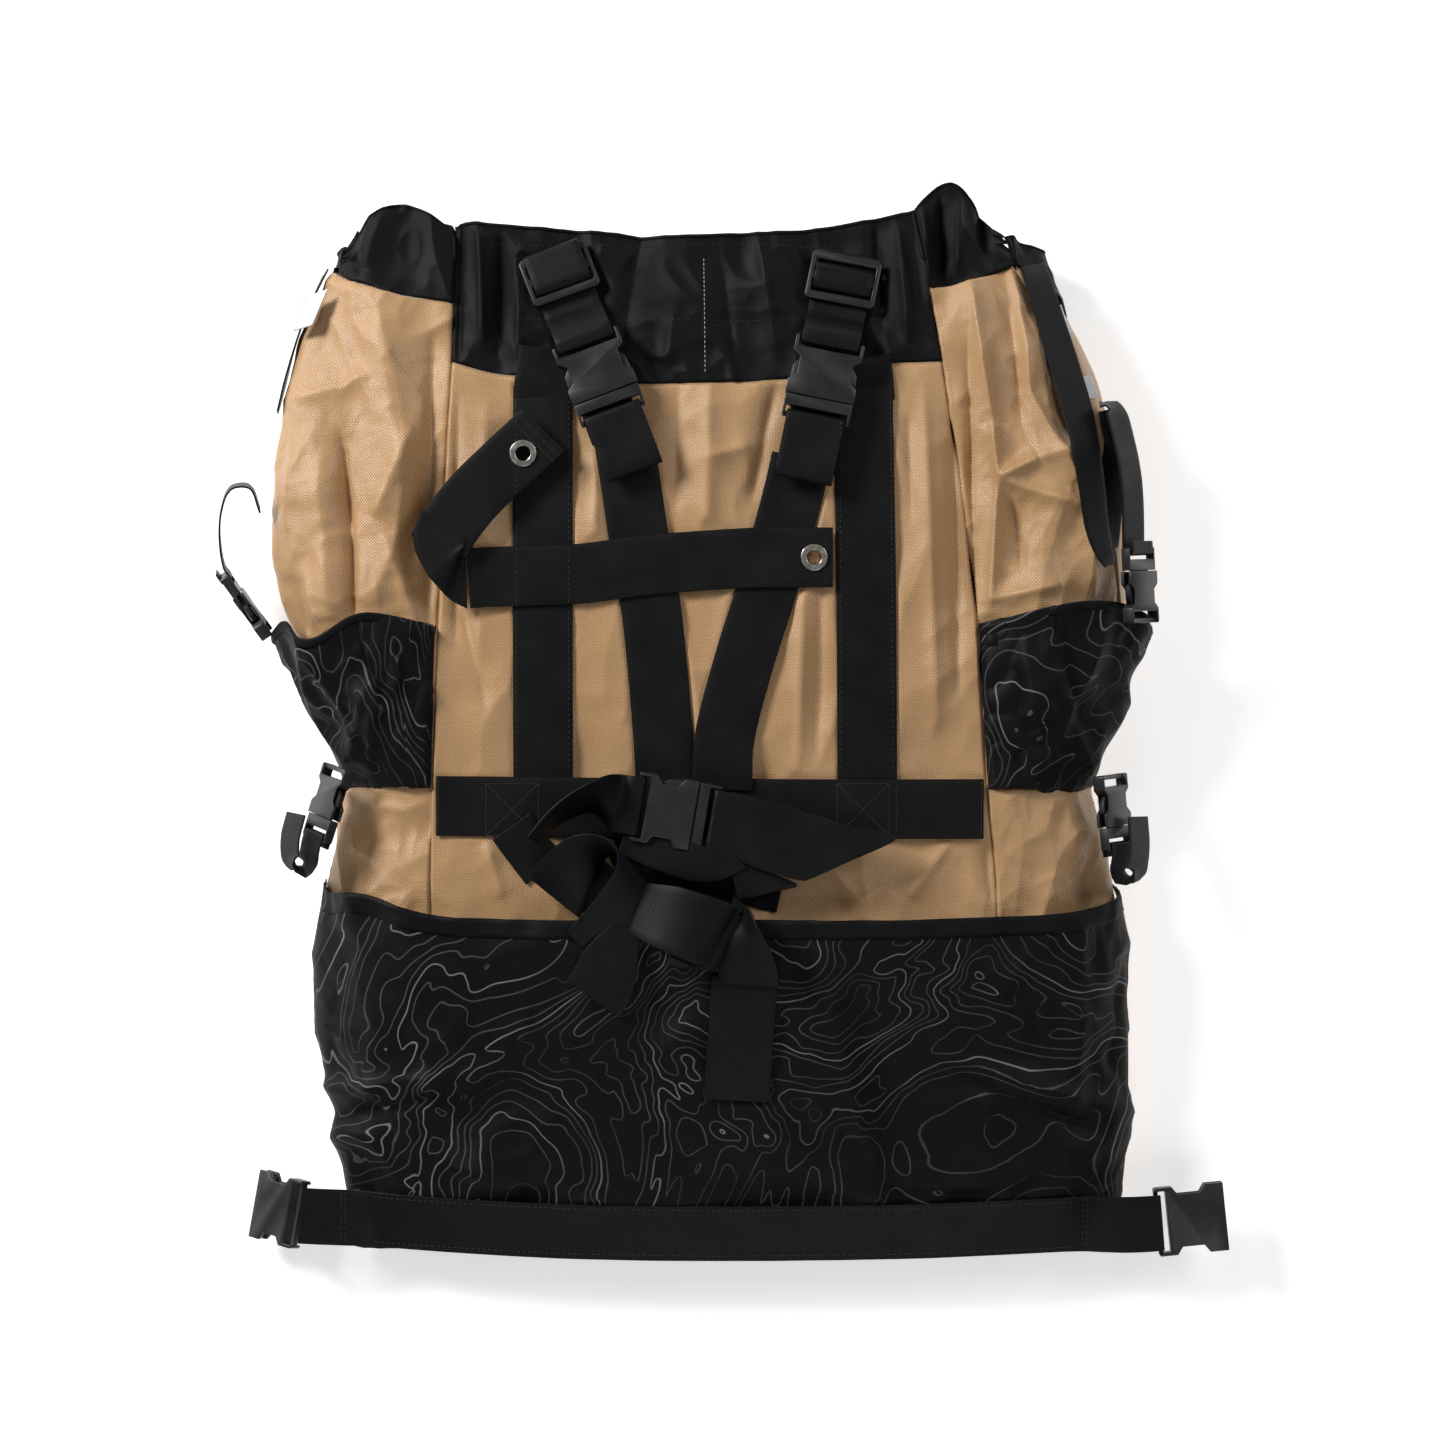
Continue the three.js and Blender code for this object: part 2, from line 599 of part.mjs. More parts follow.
// Waist buckle and the loose webbing round it
function makeWaistBelt() {
  const frame = surfaceFrame(-18, -59, [0.985, -0.17], waistLift, topOfPack);
  addBuckle("waist", wideBuckle, frame, { loosePairs: true });
  const over = (x, y, lift, across) => [
    new THREE.Vector3(x, y, topOfPack(x, y) + lift), new THREE.Vector3(...across).normalize(),
  ];
  addPart("belt_right", freeWeb({
    stops: [...barLoop(frame, maleLength, 1, 4).reverse(), over(24, -66, 17, [0.15, -1, 0]),
      over(52, -74, 16, [0, -1, -0.1]), over(84, -80, 18, [-0.1, -0.9, -0.35]),
      over(109, -76, 22, [-0.3, -0.75, -0.55])],
    width: wideWeb - 1, columns: 2,
  }), webbing);
  addPart("belt_left", freeWeb({
    stops: [...barLoop(frame, -wideBuckle.length, -1, 4).reverse(), over(-84, -50, 18, [0, 1, 0.1]),
      over(-110, -56, 19, [-0.2, 0.95, 0.3]), over(-130, -76, 21, [-0.8, 0.5, 0.4]),
      over(-124, -100, 22, [-0.9, -0.3, 0.3])],
    width: wideWeb - 1, columns: 2,
  }), webbing);
  addPart("belt_left_tail", freeWeb({
    stops: [over(-86, -114, 14, [1, 0.3, 0]), over(-82, -134, 6, [1, 0.3, 0]),
      over(-72, -160, 4, [1, 0.3, 0]), over(-60, -188, 4, [1, 0.3, 0])],
    width: wideWeb, rowsPerStop: 4, columns: 2,
  }), webbing);
  addPart("belt_centre", freeWeb({
    stops: [over(-92, -96, 30, [0.2, 1, 0]), over(-60, -112, 25, [0.25, 1, 0]),
      over(-30, -126, 17, [0.25, 1, 0]), over(0, -138, 15, [0.2, 1, 0]), over(20, -140, 19, [0.1, 1, 0])],
    width: wideWeb, rowsPerStop: 4, columns: 2,
  }), webbing);
  addPart("belt_tail", freeWeb({
    stops: [over(14, -161, 5, [1, 0, 0]), over(13, -180, 5, [1, 0, 0]), over(11, -208, 5, [1, 0, 0]),
      over(9, -240, 5, [1, 0, 0])],
    width: wideWeb + 4, rowsPerStop: 4, columns: 2,
  }), webbing);
}

// Bottom strap, sewn across the stow panel, with half a buckle at each end
function makeBottomStrap() {
  const leftFrame = frameFrom(new THREE.Vector3(-301, -312, 13),
    new THREE.Vector3(-0.76, 0.13, -0.6).normalize(), new THREE.Vector3(-0.18, -0.98, 0));
  const rightFrame = frameFrom(new THREE.Vector3(324.5, -318, 28.6),
    new THREE.Vector3(0.98, 0.1, 0.02).normalize(), new THREE.Vector3(-0.1, 1, 0));
  addPart("bottom_left_female", fromManifold(femaleSolid(wideBuckle)), buckleResin, leftFrame);
  addPart("bottom_right_female", fromManifold(femaleSolid(longBuckle)), buckleResin, rightFrame);
  pack.add(leftFrame, rightFrame);
  const edge = 232;
  const endHeight = 31;
  const ground = (x, y) => lerp(topOfPack(clamp(x, -edge, edge + 14), y), endHeight,
    smooth(Math.abs(x - 5), edge - 12, edge + 18));
  addPart("bottom_strap", laidWeb({
    points: [[-271.5, -316.8, 8.6], [-265, -317.3, 8], [-250, -318.5, 3], [-225, -320, 1.4],
      [-100, -327, 1], [0, -328.5, 1], [120, -327, 1], [225, -323, 2],
      [258, -323.6, 2], [272, -323.2, 2], [283.5, -322.3, 2.2]],
    width: wideWeb - 2, rows: 46, ground,
  }), webbing);
}

// Side compression buckles, standing on edge beside the bag
function makeSideBuckle(prefix, mouth, heading, across, strap) {
  const frame = frameFrom(new THREE.Vector3(...mouth), new THREE.Vector3(...heading).normalize(),
    new THREE.Vector3(...across).normalize());
  addBuckle(prefix, smallBuckle, frame, { loosePairs: false });
  const width = axisOf(frame, 0, -1, 0);
  addPart(`${prefix}_strap`, freeWeb({
    stops: [...barLoop(frame, maleLength, 1, 4).reverse(),
      ...strap.map((point) => [new THREE.Vector3(...point), width])],
    width: narrowWeb - 1,
  }), webbing);
}

function makeSideBuckles() {
  makeSideBuckle("left_upper", [-312, 83, 36], [-0.56, 0.8, 0.2], [0, 0, 1],
    [[-322, 130, 46], [-315, 150, 48], [-303, 151, 46], [-297, 136, 42]]);
  makeSideBuckle("right_upper", [264, 96, 72], [-0.05, 1, 0.02], [0.64, 0, -0.77],
    [[259, 150, 76], [254, 180, 74], [247, 200, 72], [239, 202, 72]]);
  makeSideBuckle("left_lower", [-254, -60, 60], [-0.3, -0.95, 0], [0.6, 0, 0.8],
    [[-266, -92, 60], [-274, -90, 58], [-276, -76, 57], [-272, -58, 56]]);
  makeSideBuckle("right_lower", [250, -66, 60], [0.1, -0.99, 0], [0.6, 0, -0.8],
    [[254, -96, 60], [262, -98, 58], [266, -82, 57], [265, -60, 56]]);
}

makeShell();
makeBase();
makeStowPanel();
makePockets();
makeBackStraps();
makeShoulder("left", [-104, 286], [0.358, -0.934], 84);
makeShoulder("right", [77, 282], [-0.2, -0.98], 79);
makeGrommetStrap();
makeWaistBelt();
makeBottomStrap();
makeSideBuckles();

export default pack;
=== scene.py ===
import json
import math

import bmesh
import bpy
from mathutils import Matrix, Vector, noise
from mathutils.bvhtree import BVHTree
from mathutils.geometry import intersect_point_line
from mathutils.kdtree import KDTree


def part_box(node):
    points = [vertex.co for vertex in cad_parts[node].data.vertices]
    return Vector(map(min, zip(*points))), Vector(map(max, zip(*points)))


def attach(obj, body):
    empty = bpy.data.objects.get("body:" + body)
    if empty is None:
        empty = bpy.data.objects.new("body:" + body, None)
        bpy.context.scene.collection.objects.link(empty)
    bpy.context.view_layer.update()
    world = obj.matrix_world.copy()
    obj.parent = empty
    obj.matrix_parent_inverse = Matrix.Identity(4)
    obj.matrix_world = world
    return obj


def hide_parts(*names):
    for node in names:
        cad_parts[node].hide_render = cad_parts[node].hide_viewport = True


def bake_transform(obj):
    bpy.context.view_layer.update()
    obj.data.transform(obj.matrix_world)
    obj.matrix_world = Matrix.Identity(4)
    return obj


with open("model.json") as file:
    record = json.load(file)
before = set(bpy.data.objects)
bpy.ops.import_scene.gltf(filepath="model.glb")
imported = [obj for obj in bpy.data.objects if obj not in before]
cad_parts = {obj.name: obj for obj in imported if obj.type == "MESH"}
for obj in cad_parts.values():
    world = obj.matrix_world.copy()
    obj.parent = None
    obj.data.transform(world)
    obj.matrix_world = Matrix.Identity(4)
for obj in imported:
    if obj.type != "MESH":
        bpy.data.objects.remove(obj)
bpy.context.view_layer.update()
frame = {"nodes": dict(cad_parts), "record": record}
nodes = frame["nodes"]
bodyOf = {n: b for b, members in frame["record"]["behaviour"]["bodies"].items() for n in members}
mm = 0.001
down = Vector((0, 0, -1))
aboveBag = 0.3


# helpers for node trees
def newMaterial(name, **shaderValues):
    material = bpy.data.materials.new(name)
    material.use_nodes = True
    tree = material.node_tree
    shader = tree.nodes["Principled BSDF"]
    for socket, value in shaderValues.items():
        shader.inputs[socket.replace("_", " ")].default_value = value
    return material, tree, shader


def put(tree, kind, inputs=None, **settings):
    made = tree.nodes.new(kind)
    for name, value in settings.items():
        setattr(made, name, value)
    for socket, value in (inputs or {}).items():
        if isinstance(value, bpy.types.NodeSocket):
            tree.links.new(value, made.inputs[socket])
        else:
            made.inputs[socket].default_value = value
    return made


def maths(tree, operation, a, b=0.0, c=0.0):
    made = put(tree, "ShaderNodeMath", {0: a, 1: b, 2: c}, operation=operation)
    return made.outputs[0]


def blendColours(tree, factor, a, b):
    made = put(tree, "ShaderNodeMix", data_type="RGBA")
    for socket, value in ((0, factor), (6, a), (7, b)):
        if isinstance(value, bpy.types.NodeSocket):
            tree.links.new(value, made.inputs[socket])
        else:
            made.inputs[socket].default_value = value
    return made.outputs[2]


def objectCoords(tree):
    return put(tree, "ShaderNodeTexCoord").outputs["Object"]


def cloudNoise(tree, coords, scale, detail=2.0):
    return put(tree, "ShaderNodeTexNoise", {"Vector": coords, "Scale": scale, "Detail": detail}).outputs[0]


def setRoughness(tree, shader, cloud, smoothest, roughest):
    # a noise's middle range spread over the finish's own range
    rough = put(tree, "ShaderNodeMapRange", {0: cloud, 1: 0.3, 2: 0.7, 3: smoothest, 4: roughest})
    tree.links.new(rough.outputs[0], shader.inputs["Roughness"])


def setColour(tree, shader, factor, a, b):
    tree.links.new(blendColours(tree, factor, a, b), shader.inputs["Base Color"])


def addBump(tree, shader, height, strength, distance):
    bump = put(tree, "ShaderNodeBump", {"Height": height, "Strength": strength, "Distance": distance})
    tree.links.new(bump.outputs[0], shader.inputs["Normal"])


def weaveHeight(tree, coords, pitch):
    # a diagonal twill, broken up by the crossing threads
    parts = put(tree, "ShaderNodeSeparateXYZ", {0: coords})
    x, y = parts.outputs[0], parts.outputs[1]
    z = maths(tree, "MULTIPLY", parts.outputs[2], 0.25)
    turn = 2 * math.pi / (pitch * math.sqrt(2))
    waves = []
    for lean in ("ADD", "SUBTRACT"):
        along = maths(tree, "ADD", maths(tree, lean, x, y), z)
        waves.append(maths(tree, "SINE", maths(tree, "MULTIPLY", along, turn)))
    crossing = maths(tree, "MULTIPLY", maths(tree, "MULTIPLY", *waves), 0.4)
    return maths(tree, "MULTIPLY_ADD", waves[0], 0.6, crossing)


# finishes
tanLook = {
    "colour": (0.41, 0.228, 0.097, 1),
    "deepColour": (0.325, 0.172, 0.070, 1),
    "threadColour": (0.56, 0.345, 0.168, 1),
    "pitch": 1.5 * mm,
}


def makeTanFabric():
    material, tree, shader = newMaterial("tanOxford", Sheen_Weight=0.15, Sheen_Roughness=0.4,
                                         Specular_IOR_Level=0.6)
    coords = objectCoords(tree)
    weave = weaveHeight(tree, coords, tanLook["pitch"])
    slow = cloudNoise(tree, coords, 9.0, 4.0)
    base = blendColours(tree, slow, tanLook["deepColour"], tanLook["colour"])
    lifted = maths(tree, "MULTIPLY_ADD", weave, 0.7, 0.40)
    setColour(tree, shader, lifted, base, tanLook["threadColour"])
    setRoughness(tree, shader, slow, 0.37, 0.50)
    height = maths(tree, "ADD", maths(tree, "MULTIPLY", weave, 0.5), cloudNoise(tree, coords, 700.0))
    addBump(tree, shader, height, 0.6, 0.4 * mm)
    return material


blackLook = {
    "colour": (0.0025, 0.0025, 0.0028, 1),
    "pale": (0.006, 0.006, 0.0068, 1),
    "pitch": 1.1 * mm,
}


def makeBlackFabric():
    material, tree, shader = newMaterial("blackCloth", Sheen_Weight=0.02, Specular_IOR_Level=0.11)
    coords = objectCoords(tree)
    slow = cloudNoise(tree, coords, 14.0, 4.0)
    setColour(tree, shader, slow, blackLook["colour"], blackLook["pale"])
    setRoughness(tree, shader, slow, 0.45, 0.62)
    addBump(tree, shader, weaveHeight(tree, coords, blackLook["pitch"]), 0.25, 0.3 * mm)
    return material


mapLook = {
    "ground": (0.0028, 0.0028, 0.0034, 1),
    "line": (0.060, 0.060, 0.070, 1),
    "indexLine": (0.17, 0.17, 0.185, 1),
    "scale": 6.5,  # hills per metre
    "levels": 33.0,
    "lineWidth": 0.75 * mm,
    "step": 0.6 * mm,
    "middle": (0.31, 0.17),
    "pitch": 1.6 * mm,
}


def makePrintedFabric():
    # black cloth with thin contour lines: the lines keep one width because the noise's slope is divided out
    material, tree, shader = newMaterial("contourPrint", Roughness=0.55, Sheen_Weight=0.02,
                                         Specular_IOR_Level=0.13)
    coords = objectCoords(tree)
    step = mapLook["step"]

    def hills(stepX, stepY):
        offset = (mapLook["middle"][0] + stepX, mapLook["middle"][1] + stepY, 0.0)
        moved = put(tree, "ShaderNodeVectorMath", {0: coords, 1: offset}, operation="ADD").outputs[0]
        made = put(tree, "ShaderNodeTexNoise", {"Vector": moved, "Scale": mapLook["scale"], "Detail": 3.0,
                                                "Roughness": 0.45, "Distortion": 0.9})
        return made.outputs[0]

    here = hills(0.0, 0.0)
    dx = maths(tree, "SUBTRACT", hills(step, 0.0), here)
    dy = maths(tree, "SUBTRACT", hills(0.0, step), here)
    squares = [maths(tree, "MULTIPLY", d, d) for d in (dx, dy)]
    slope = maths(tree, "SQRT", maths(tree, "ADD", *squares))
    slope = maths(tree, "MAXIMUM", maths(tree, "MULTIPLY", slope, mapLook["levels"] / step), 2.0)
    level = maths(tree, "MULTIPLY", here, mapLook["levels"])
    away = maths(tree, "ABSOLUTE", maths(tree, "SUBTRACT", maths(tree, "FRACT", level), 0.5))
    distance = maths(tree, "DIVIDE", away, slope)
    line = put(tree, "ShaderNodeMapRange", {0: distance, 1: mapLook["lineWidth"] * 0.35,
                                            2: mapLook["lineWidth"] * 0.8, 3: 1.0, 4: 0.0}).outputs[0]
    rank = maths(tree, "MODULO", maths(tree, "FLOOR", level), 4.0)
    isIndex = maths(tree, "LESS_THAN", rank, 0.5)
    ink = blendColours(tree, isIndex, mapLook["line"], mapLook["indexLine"])
    worn = cloudNoise(tree, coords, 18.0)
    fade = put(tree, "ShaderNodeMapRange", {0: worn, 1: 0.35, 2: 0.6, 3: 0.35, 4: 1.0})
    amount = maths(tree, "MULTIPLY", line, fade.outputs[0])
    setColour(tree, shader, amount, mapLook["ground"], ink)
    addBump(tree, shader, weaveHeight(tree, coords, mapLook["pitch"]), 0.25, 0.3 * mm)
    return material


webLook = {
    "colour": (0.0018, 0.0018, 0.002, 1),
    "pale": (0.006, 0.006, 0.0066, 1),
    "rib": 1.5 * mm,
    "weft": 1.2 * mm,
}


def makeWebbing():
    # u and v are metres across and along the strap
    material, tree, shader = newMaterial("ribbedWebbing", Sheen_Weight=0.02, Sheen_Roughness=0.35,
                                         Specular_IOR_Level=0.19)
    uv = put(tree, "ShaderNodeUVMap", uv_map="UVMap").outputs[0]
    parts = put(tree, "ShaderNodeSeparateXYZ", {0: uv})
    across, along = parts.outputs[0], parts.outputs[1]
    rib = maths(tree, "SINE", maths(tree, "MULTIPLY", across, 2 * math.pi / webLook["rib"]))
    weft = maths(tree, "SINE", maths(tree, "MULTIPLY_ADD", along, 2 * math.pi / webLook["weft"],
                                     maths(tree, "MULTIPLY", rib, 1.2)))
    height = maths(tree, "ADD", maths(tree, "MULTIPLY", rib, 0.6), maths(tree, "MULTIPLY", weft, 0.4))
    worn = cloudNoise(tree, uv, 30.0, 5.0)
    mix = maths(tree, "MULTIPLY_ADD", height, 0.18, worn)
    setColour(tree, shader, mix, webLook["colour"], webLook["pale"])
    setRoughness(tree, shader, worn, 0.4, 0.58)
    addBump(tree, shader, height, 0.22, 0.25 * mm)
    return material


def makeBuckleResin():
    material, tree, shader = newMaterial("satinResin", Specular_IOR_Level=0.5)
    coords = objectCoords(tree)
    cloud = cloudNoise(tree, coords, 60.0, 5.0)
    setColour(tree, shader, cloud, (0.0075, 0.0075, 0.008, 1), (0.017, 0.017, 0.018, 1))
    setRoughness(tree, shader, cloud, 0.32, 0.46)
    addBump(tree, shader, cloudNoise(tree, coords, 2200.0), 0.2, 0.12 * mm)
    return material


def makeNickel():
    material, tree, shader = newMaterial("nickelPlate", Metallic=1.0)
    wear = cloudNoise(tree, objectCoords(tree), 320.0, 4.0)
    setColour(tree, shader, wear, (0.50, 0.47, 0.42, 1), (0.72, 0.69, 0.64, 1))
    setRoughness(tree, shader, wear, 0.2, 0.36)
    addBump(tree, shader, wear, 0.08, 0.2 * mm)
    return material


def makeThread(name, colour):
    material, tree, shader = newMaterial(name, Roughness=0.6)
    twist = cloudNoise(tree, objectCoords(tree), 1500.0)
    dark = tuple(0.7 * c for c in colour[:3]) + (1,)
    setColour(tree, shader, twist, dark, colour)
    addBump(tree, shader, twist, 0.3, 0.2 * mm)
    return material


def makeReflectiveTape():
    material, tree, shader = newMaterial("reflectiveTape", Roughness=0.35, Metallic=0.35)
    cells = put(tree, "ShaderNodeTexVoronoi", {"Vector": objectCoords(tree), "Scale": 600.0}).outputs[0]
    setColour(tree, shader, cells, (0.30, 0.31, 0.33, 1), (0.42, 0.43, 0.46, 1))
    addBump(tree, shader, cells, 0.2, 0.2 * mm)
    return material


def makeFloor():
    material, tree, shader = newMaterial("studioFloor", Roughness=0.85, Emission_Color=(1, 1, 1, 1),
                                         Emission_Strength=0.5)
    cloud = cloudNoise(tree, objectCoords(tree), 3.0)
    setColour(tree, shader, cloud, (0.93, 0.93, 0.93, 1), (0.95, 0.95, 0.95, 1))
    return material


tanFabric = makeTanFabric()
blackFabric = makeBlackFabric()
printedFabric = makePrintedFabric()
webbing = makeWebbing()
buckleResin = makeBuckleResin()
nickel = makeNickel()
blackThread = makeThread("blackThread", (0.02, 0.02, 0.022, 1))
whiteThread = makeThread("whiteThread", (0.55, 0.55, 0.54, 1))
reflectiveTape = makeReflectiveTape()
floorPaint = makeFloor()
print("finishes ready")


# mesh helpers
def cadCopy(name):
    bm = bmesh.new()
    bm.from_mesh(nodes[name].data)
    bmesh.ops.remove_doubles(bm, verts=bm.verts, dist=0.01 * mm)
    bm.normal_update()
    return bm


def titled(name):
    return "".join(word.title() for word in name.split("_"))


def bakeModifiers(piece):
    graph = bpy.context.evaluated_depsgraph_get()
    graph.update()
    made = bpy.data.meshes.new_from_object(piece.evaluated_get(graph))
    piece.modifiers.clear()
    piece.data = made


def addPiece(name, bm, material, slotName):
    mesh = bpy.data.meshes.new(name)
    bm.to_mesh(mesh)
    bm.free()
    mesh.materials.clear()
    mesh.materials.append(material)
    for polygon in mesh.polygons:
        polygon.use_smooth = True
    piece = bpy.data.objects.new(name, mesh)
    bpy.context.collection.objects.link(piece)
    return piece


def treeOfMeshes(meshes):
    joined = bmesh.new()
    for mesh in meshes:
        joined.from_mesh(mesh)
    found = BVHTree.FromBMesh(joined)
    joined.free()
    return found


def treeOf(*bms):
    scratch = []
    for bm in bms:
        scratch.append(bpy.data.meshes.new("scratch"))
        bm.to_mesh(scratch[-1])
    found = treeOfMeshes(scratch)
    for mesh in scratch:
        bpy.data.meshes.remove(mesh)
    return found


def treeOfPieces(*pieces):
    return treeOfMeshes([piece.data for piece in pieces])


# the bag's skin
# a fold runs between two points on the bag seen from above
# its rise is in mm, below zero for a valley, and its width is in mm
folds = [
    # both side walls bulge past their seams
    ((-0.268, 0.262), (-0.292, 0.150), 3.5, 12),
    ((-0.293, 0.130), (-0.272, 0.055), 4.5, 13),
    ((0.216, 0.262), (0.247, 0.165), 3.5, 12),
    # left side panel: a long step, soft diagonals, drawn in above the pocket
    ((-0.2466, 0.184), (-0.2375, 0.120), -8.0, 5),
    ((-0.2375, 0.120), (-0.2339, 0.064), -8.0, 5),
    ((-0.256, 0.170), (-0.246, 0.064), 5.0, 13),
    ((-0.262, 0.262), (-0.276, 0.120), 4.0, 12),
    ((-0.222, 0.262), (-0.203, 0.150), 4.0, 16),
    ((-0.196, 0.190), (-0.222, 0.130), 5.5, 11),
    ((-0.184, 0.245), (-0.186, 0.060), -4.5, 6),
    ((-0.268, 0.205), (-0.225, 0.222), 3.5, 10),
    ((-0.190, 0.165), (-0.196, 0.105), -4.5, 8),
    ((-0.215, 0.120), (-0.194, 0.060), 4.0, 10),
    ((-0.274, 0.095), (-0.262, 0.055), -4.0, 6),
    ((-0.262, 0.092), (-0.248, 0.052), 4.5, 7),
    ((-0.250, 0.020), (-0.200, -0.100), 3.0, 12),
    # right side panel: a ridge down to a star crease, and a bright fold by the gusset
    ((0.159, 0.278), (0.1717, 0.190), 7.0, 7),
    ((0.1717, 0.190), (0.1748, 0.155), 7.0, 6),
    ((0.1748, 0.155), (0.200, 0.168), 7.0, 7),
    ((0.200, 0.168), (0.236, 0.178), 5.0, 9),
    ((0.1748, 0.155), (0.2266, 0.137), 5.5, 9),
    ((0.1748, 0.155), (0.170, 0.074), 6.5, 6),
    ((0.170, 0.078), (0.214, 0.088), 4.5, 7),
    ((0.182, 0.142), (0.190, 0.098), -6.0, 8),
    ((0.184, 0.270), (0.190, 0.190), -6.0, 9),
    ((0.1842, 0.292), (0.1952, 0.209), 6.5, 5),
    ((0.1952, 0.209), (0.2234, 0.152), 5.0, 6),
    ((0.2234, 0.152), (0.2374, 0.080), 4.5, 7),
    ((0.205, 0.262), (0.222, 0.180), -5.0, 6),
    ((0.156, 0.240), (0.160, 0.070), -5.0, 6),
    ((0.206, 0.020), (0.228, -0.095), 3.0, 12),
    # back panel: low waves between the straps
    ((-0.150, 0.200), (-0.156, 0.020), 3.2, 10),
    ((-0.168, 0.205), (-0.170, 0.050), -3.0, 6),
    ((-0.075, 0.190), (-0.082, 0.110), 2.4, 8),
    ((-0.008, 0.222), (-0.010, 0.110), 4.0, 11),
    ((-0.028, 0.215), (-0.030, 0.130), -3.0, 8),
    ((0.034, 0.215), (0.018, 0.140), -3.5, 8),
    ((-0.010, 0.168), (0.018, 0.176), 2.5, 7),
    ((-0.028, 0.060), (-0.012, -0.030), 2.5, 8),
    ((0.052, 0.120), (0.048, -0.030), 4.0, 9),
    ((0.063, 0.110), (0.060, -0.020), -3.0, 6),
    ((0.128, 0.215), (0.136, 0.000), 4.0, 9),
    ((0.146, 0.200), (0.150, 0.020), -4.5, 6),
    ((0.118, 0.195), (0.120, 0.130), -3.0, 6),
    ((-0.170, 0.090), (-0.150, 0.010), -3.2, 8),
    ((-0.150, -0.076), (-0.140, -0.112), 3.0, 8),
    ((0.145, -0.076), (0.118, -0.112), 3.0, 8),
    ((0.060, -0.080), (0.085, -0.112), 2.5, 8),
    ((0.168, -0.078), (0.172, -0.115), -3.5, 6),
    # black collar: pleats hanging from the mouth
    ((-0.156, 0.318), (-0.152, 0.240), 5.5, 5),
    ((-0.142, 0.312), (-0.143, 0.235), -6.5, 5),
    ((-0.168, 0.320), (-0.168, 0.235), -5.0, 4),
    ((-0.128, 0.305), (-0.130, 0.235), 4.0, 5),
    ((-0.052, 0.318), (-0.064, 0.240), -4.0, 9),
    ((-0.030, 0.262), (-0.036, 0.228), 4.0, 9),
    ((0.000, 0.290), (0.008, 0.232), -3.5, 7),
    ((0.022, 0.316), (0.034, 0.236), 5.0, 8),
    ((0.052, 0.310), (0.085, 0.230), -4.5, 9),
    ((0.112, 0.318), (0.118, 0.240), 6.0, 6),
    ((0.098, 0.318), (0.102, 0.250), -5.5, 5),
    ((0.128, 0.330), (0.132, 0.265), 6.0, 5),
    ((0.140, 0.336), (0.140, 0.285), -6.5, 4),
    ((0.152, 0.338), (0.150, 0.290), 5.0, 5),
    ((0.165, 0.340), (0.172, 0.300), -5.5, 5),
    ((0.178, 0.338), (0.186, 0.296), 5.0, 5),
    ((-0.215, 0.330), (-0.228, 0.290), 4.0, 10),
    ((-0.238, 0.300), (-0.232, 0.285), -4.0, 6),
]

stowFolds = [
    ((-0.266, -0.080), (-0.258, -0.280), 4.0, 12),
    ((0.230, -0.110), (0.222, -0.300), 3.0, 16),
    ((0.130, -0.208), (0.245, -0.246), 4.0, 8),
    ((0.150, -0.228), (0.240, -0.262), -3.5, 7),
    ((-0.250, -0.235), (-0.150, -0.222), 4.0, 9),
    ((-0.250, -0.252), (-0.170, -0.240), -3.5, 8),
    ((-0.240, -0.205), (-0.205, -0.260), 3.0, 9),
    ((-0.120, -0.130), (-0.060, -0.200), 3.0, 14),
    ((-0.060, -0.160), (-0.130, -0.290), 3.0, 14),
    ((0.060, -0.130), (0.085, -0.260), 3.5, 15),
    ((0.110, -0.150), (0.170, -0.200), -3.0, 12),
    ((-0.040, -0.200), (0.060, -0.280), 2.5, 14),
    ((-0.200, -0.140), (-0.160, -0.200), 2.6, 14),
    ((0.180, -0.130), (0.200, -0.170), -2.5, 12),
    ((-0.190, -0.285), (-0.060, -0.300), 2.0, 10),
    ((0.050, -0.300), (0.180, -0.292), 2.0, 10),
]

pocketFolds = [
    ((-0.2215, 0.062), (-0.2200, 0.033), -5.0, 5),
    ((-0.2200, 0.033), (-0.2080, -0.008), -5.0, 5),
    ((-0.2100, 0.060), (-0.2060, 0.020), 3.5, 7),
    ((-0.265, 0.045), (-0.225, -0.020), 4.5, 8),
    ((-0.245, 0.050), (-0.205, 0.000), -4.0, 7),
    ((-0.215, 0.060), (-0.225, -0.030), 4.0, 9),
    ((-0.195, 0.055), (-0.200, -0.030), -3.0, 8),
    ((-0.240, 0.010), (-0.215, -0.036), -3.5, 6),
    ((0.190, 0.060), (0.205, -0.030), 4.0, 9),
    ((0.215, 0.065), (0.228, 0.000), -4.0, 8),
    ((0.240, 0.050), (0.215, -0.010), 4.5, 9),
    ((0.180, 0.030), (0.190, -0.036), -3.0, 7),
    ((0.225, 0.000), (0.235, -0.036), 3.0, 8),
]


foldLook = {
    "rise": 1.7,
    "reach": 3,  # widths from the line at which a fold has died away
    "blunt": 0.03,
    "sharpness": 1.5,
    "endShare": 0.3,  # of the rise that is left at a fold's two ends
}


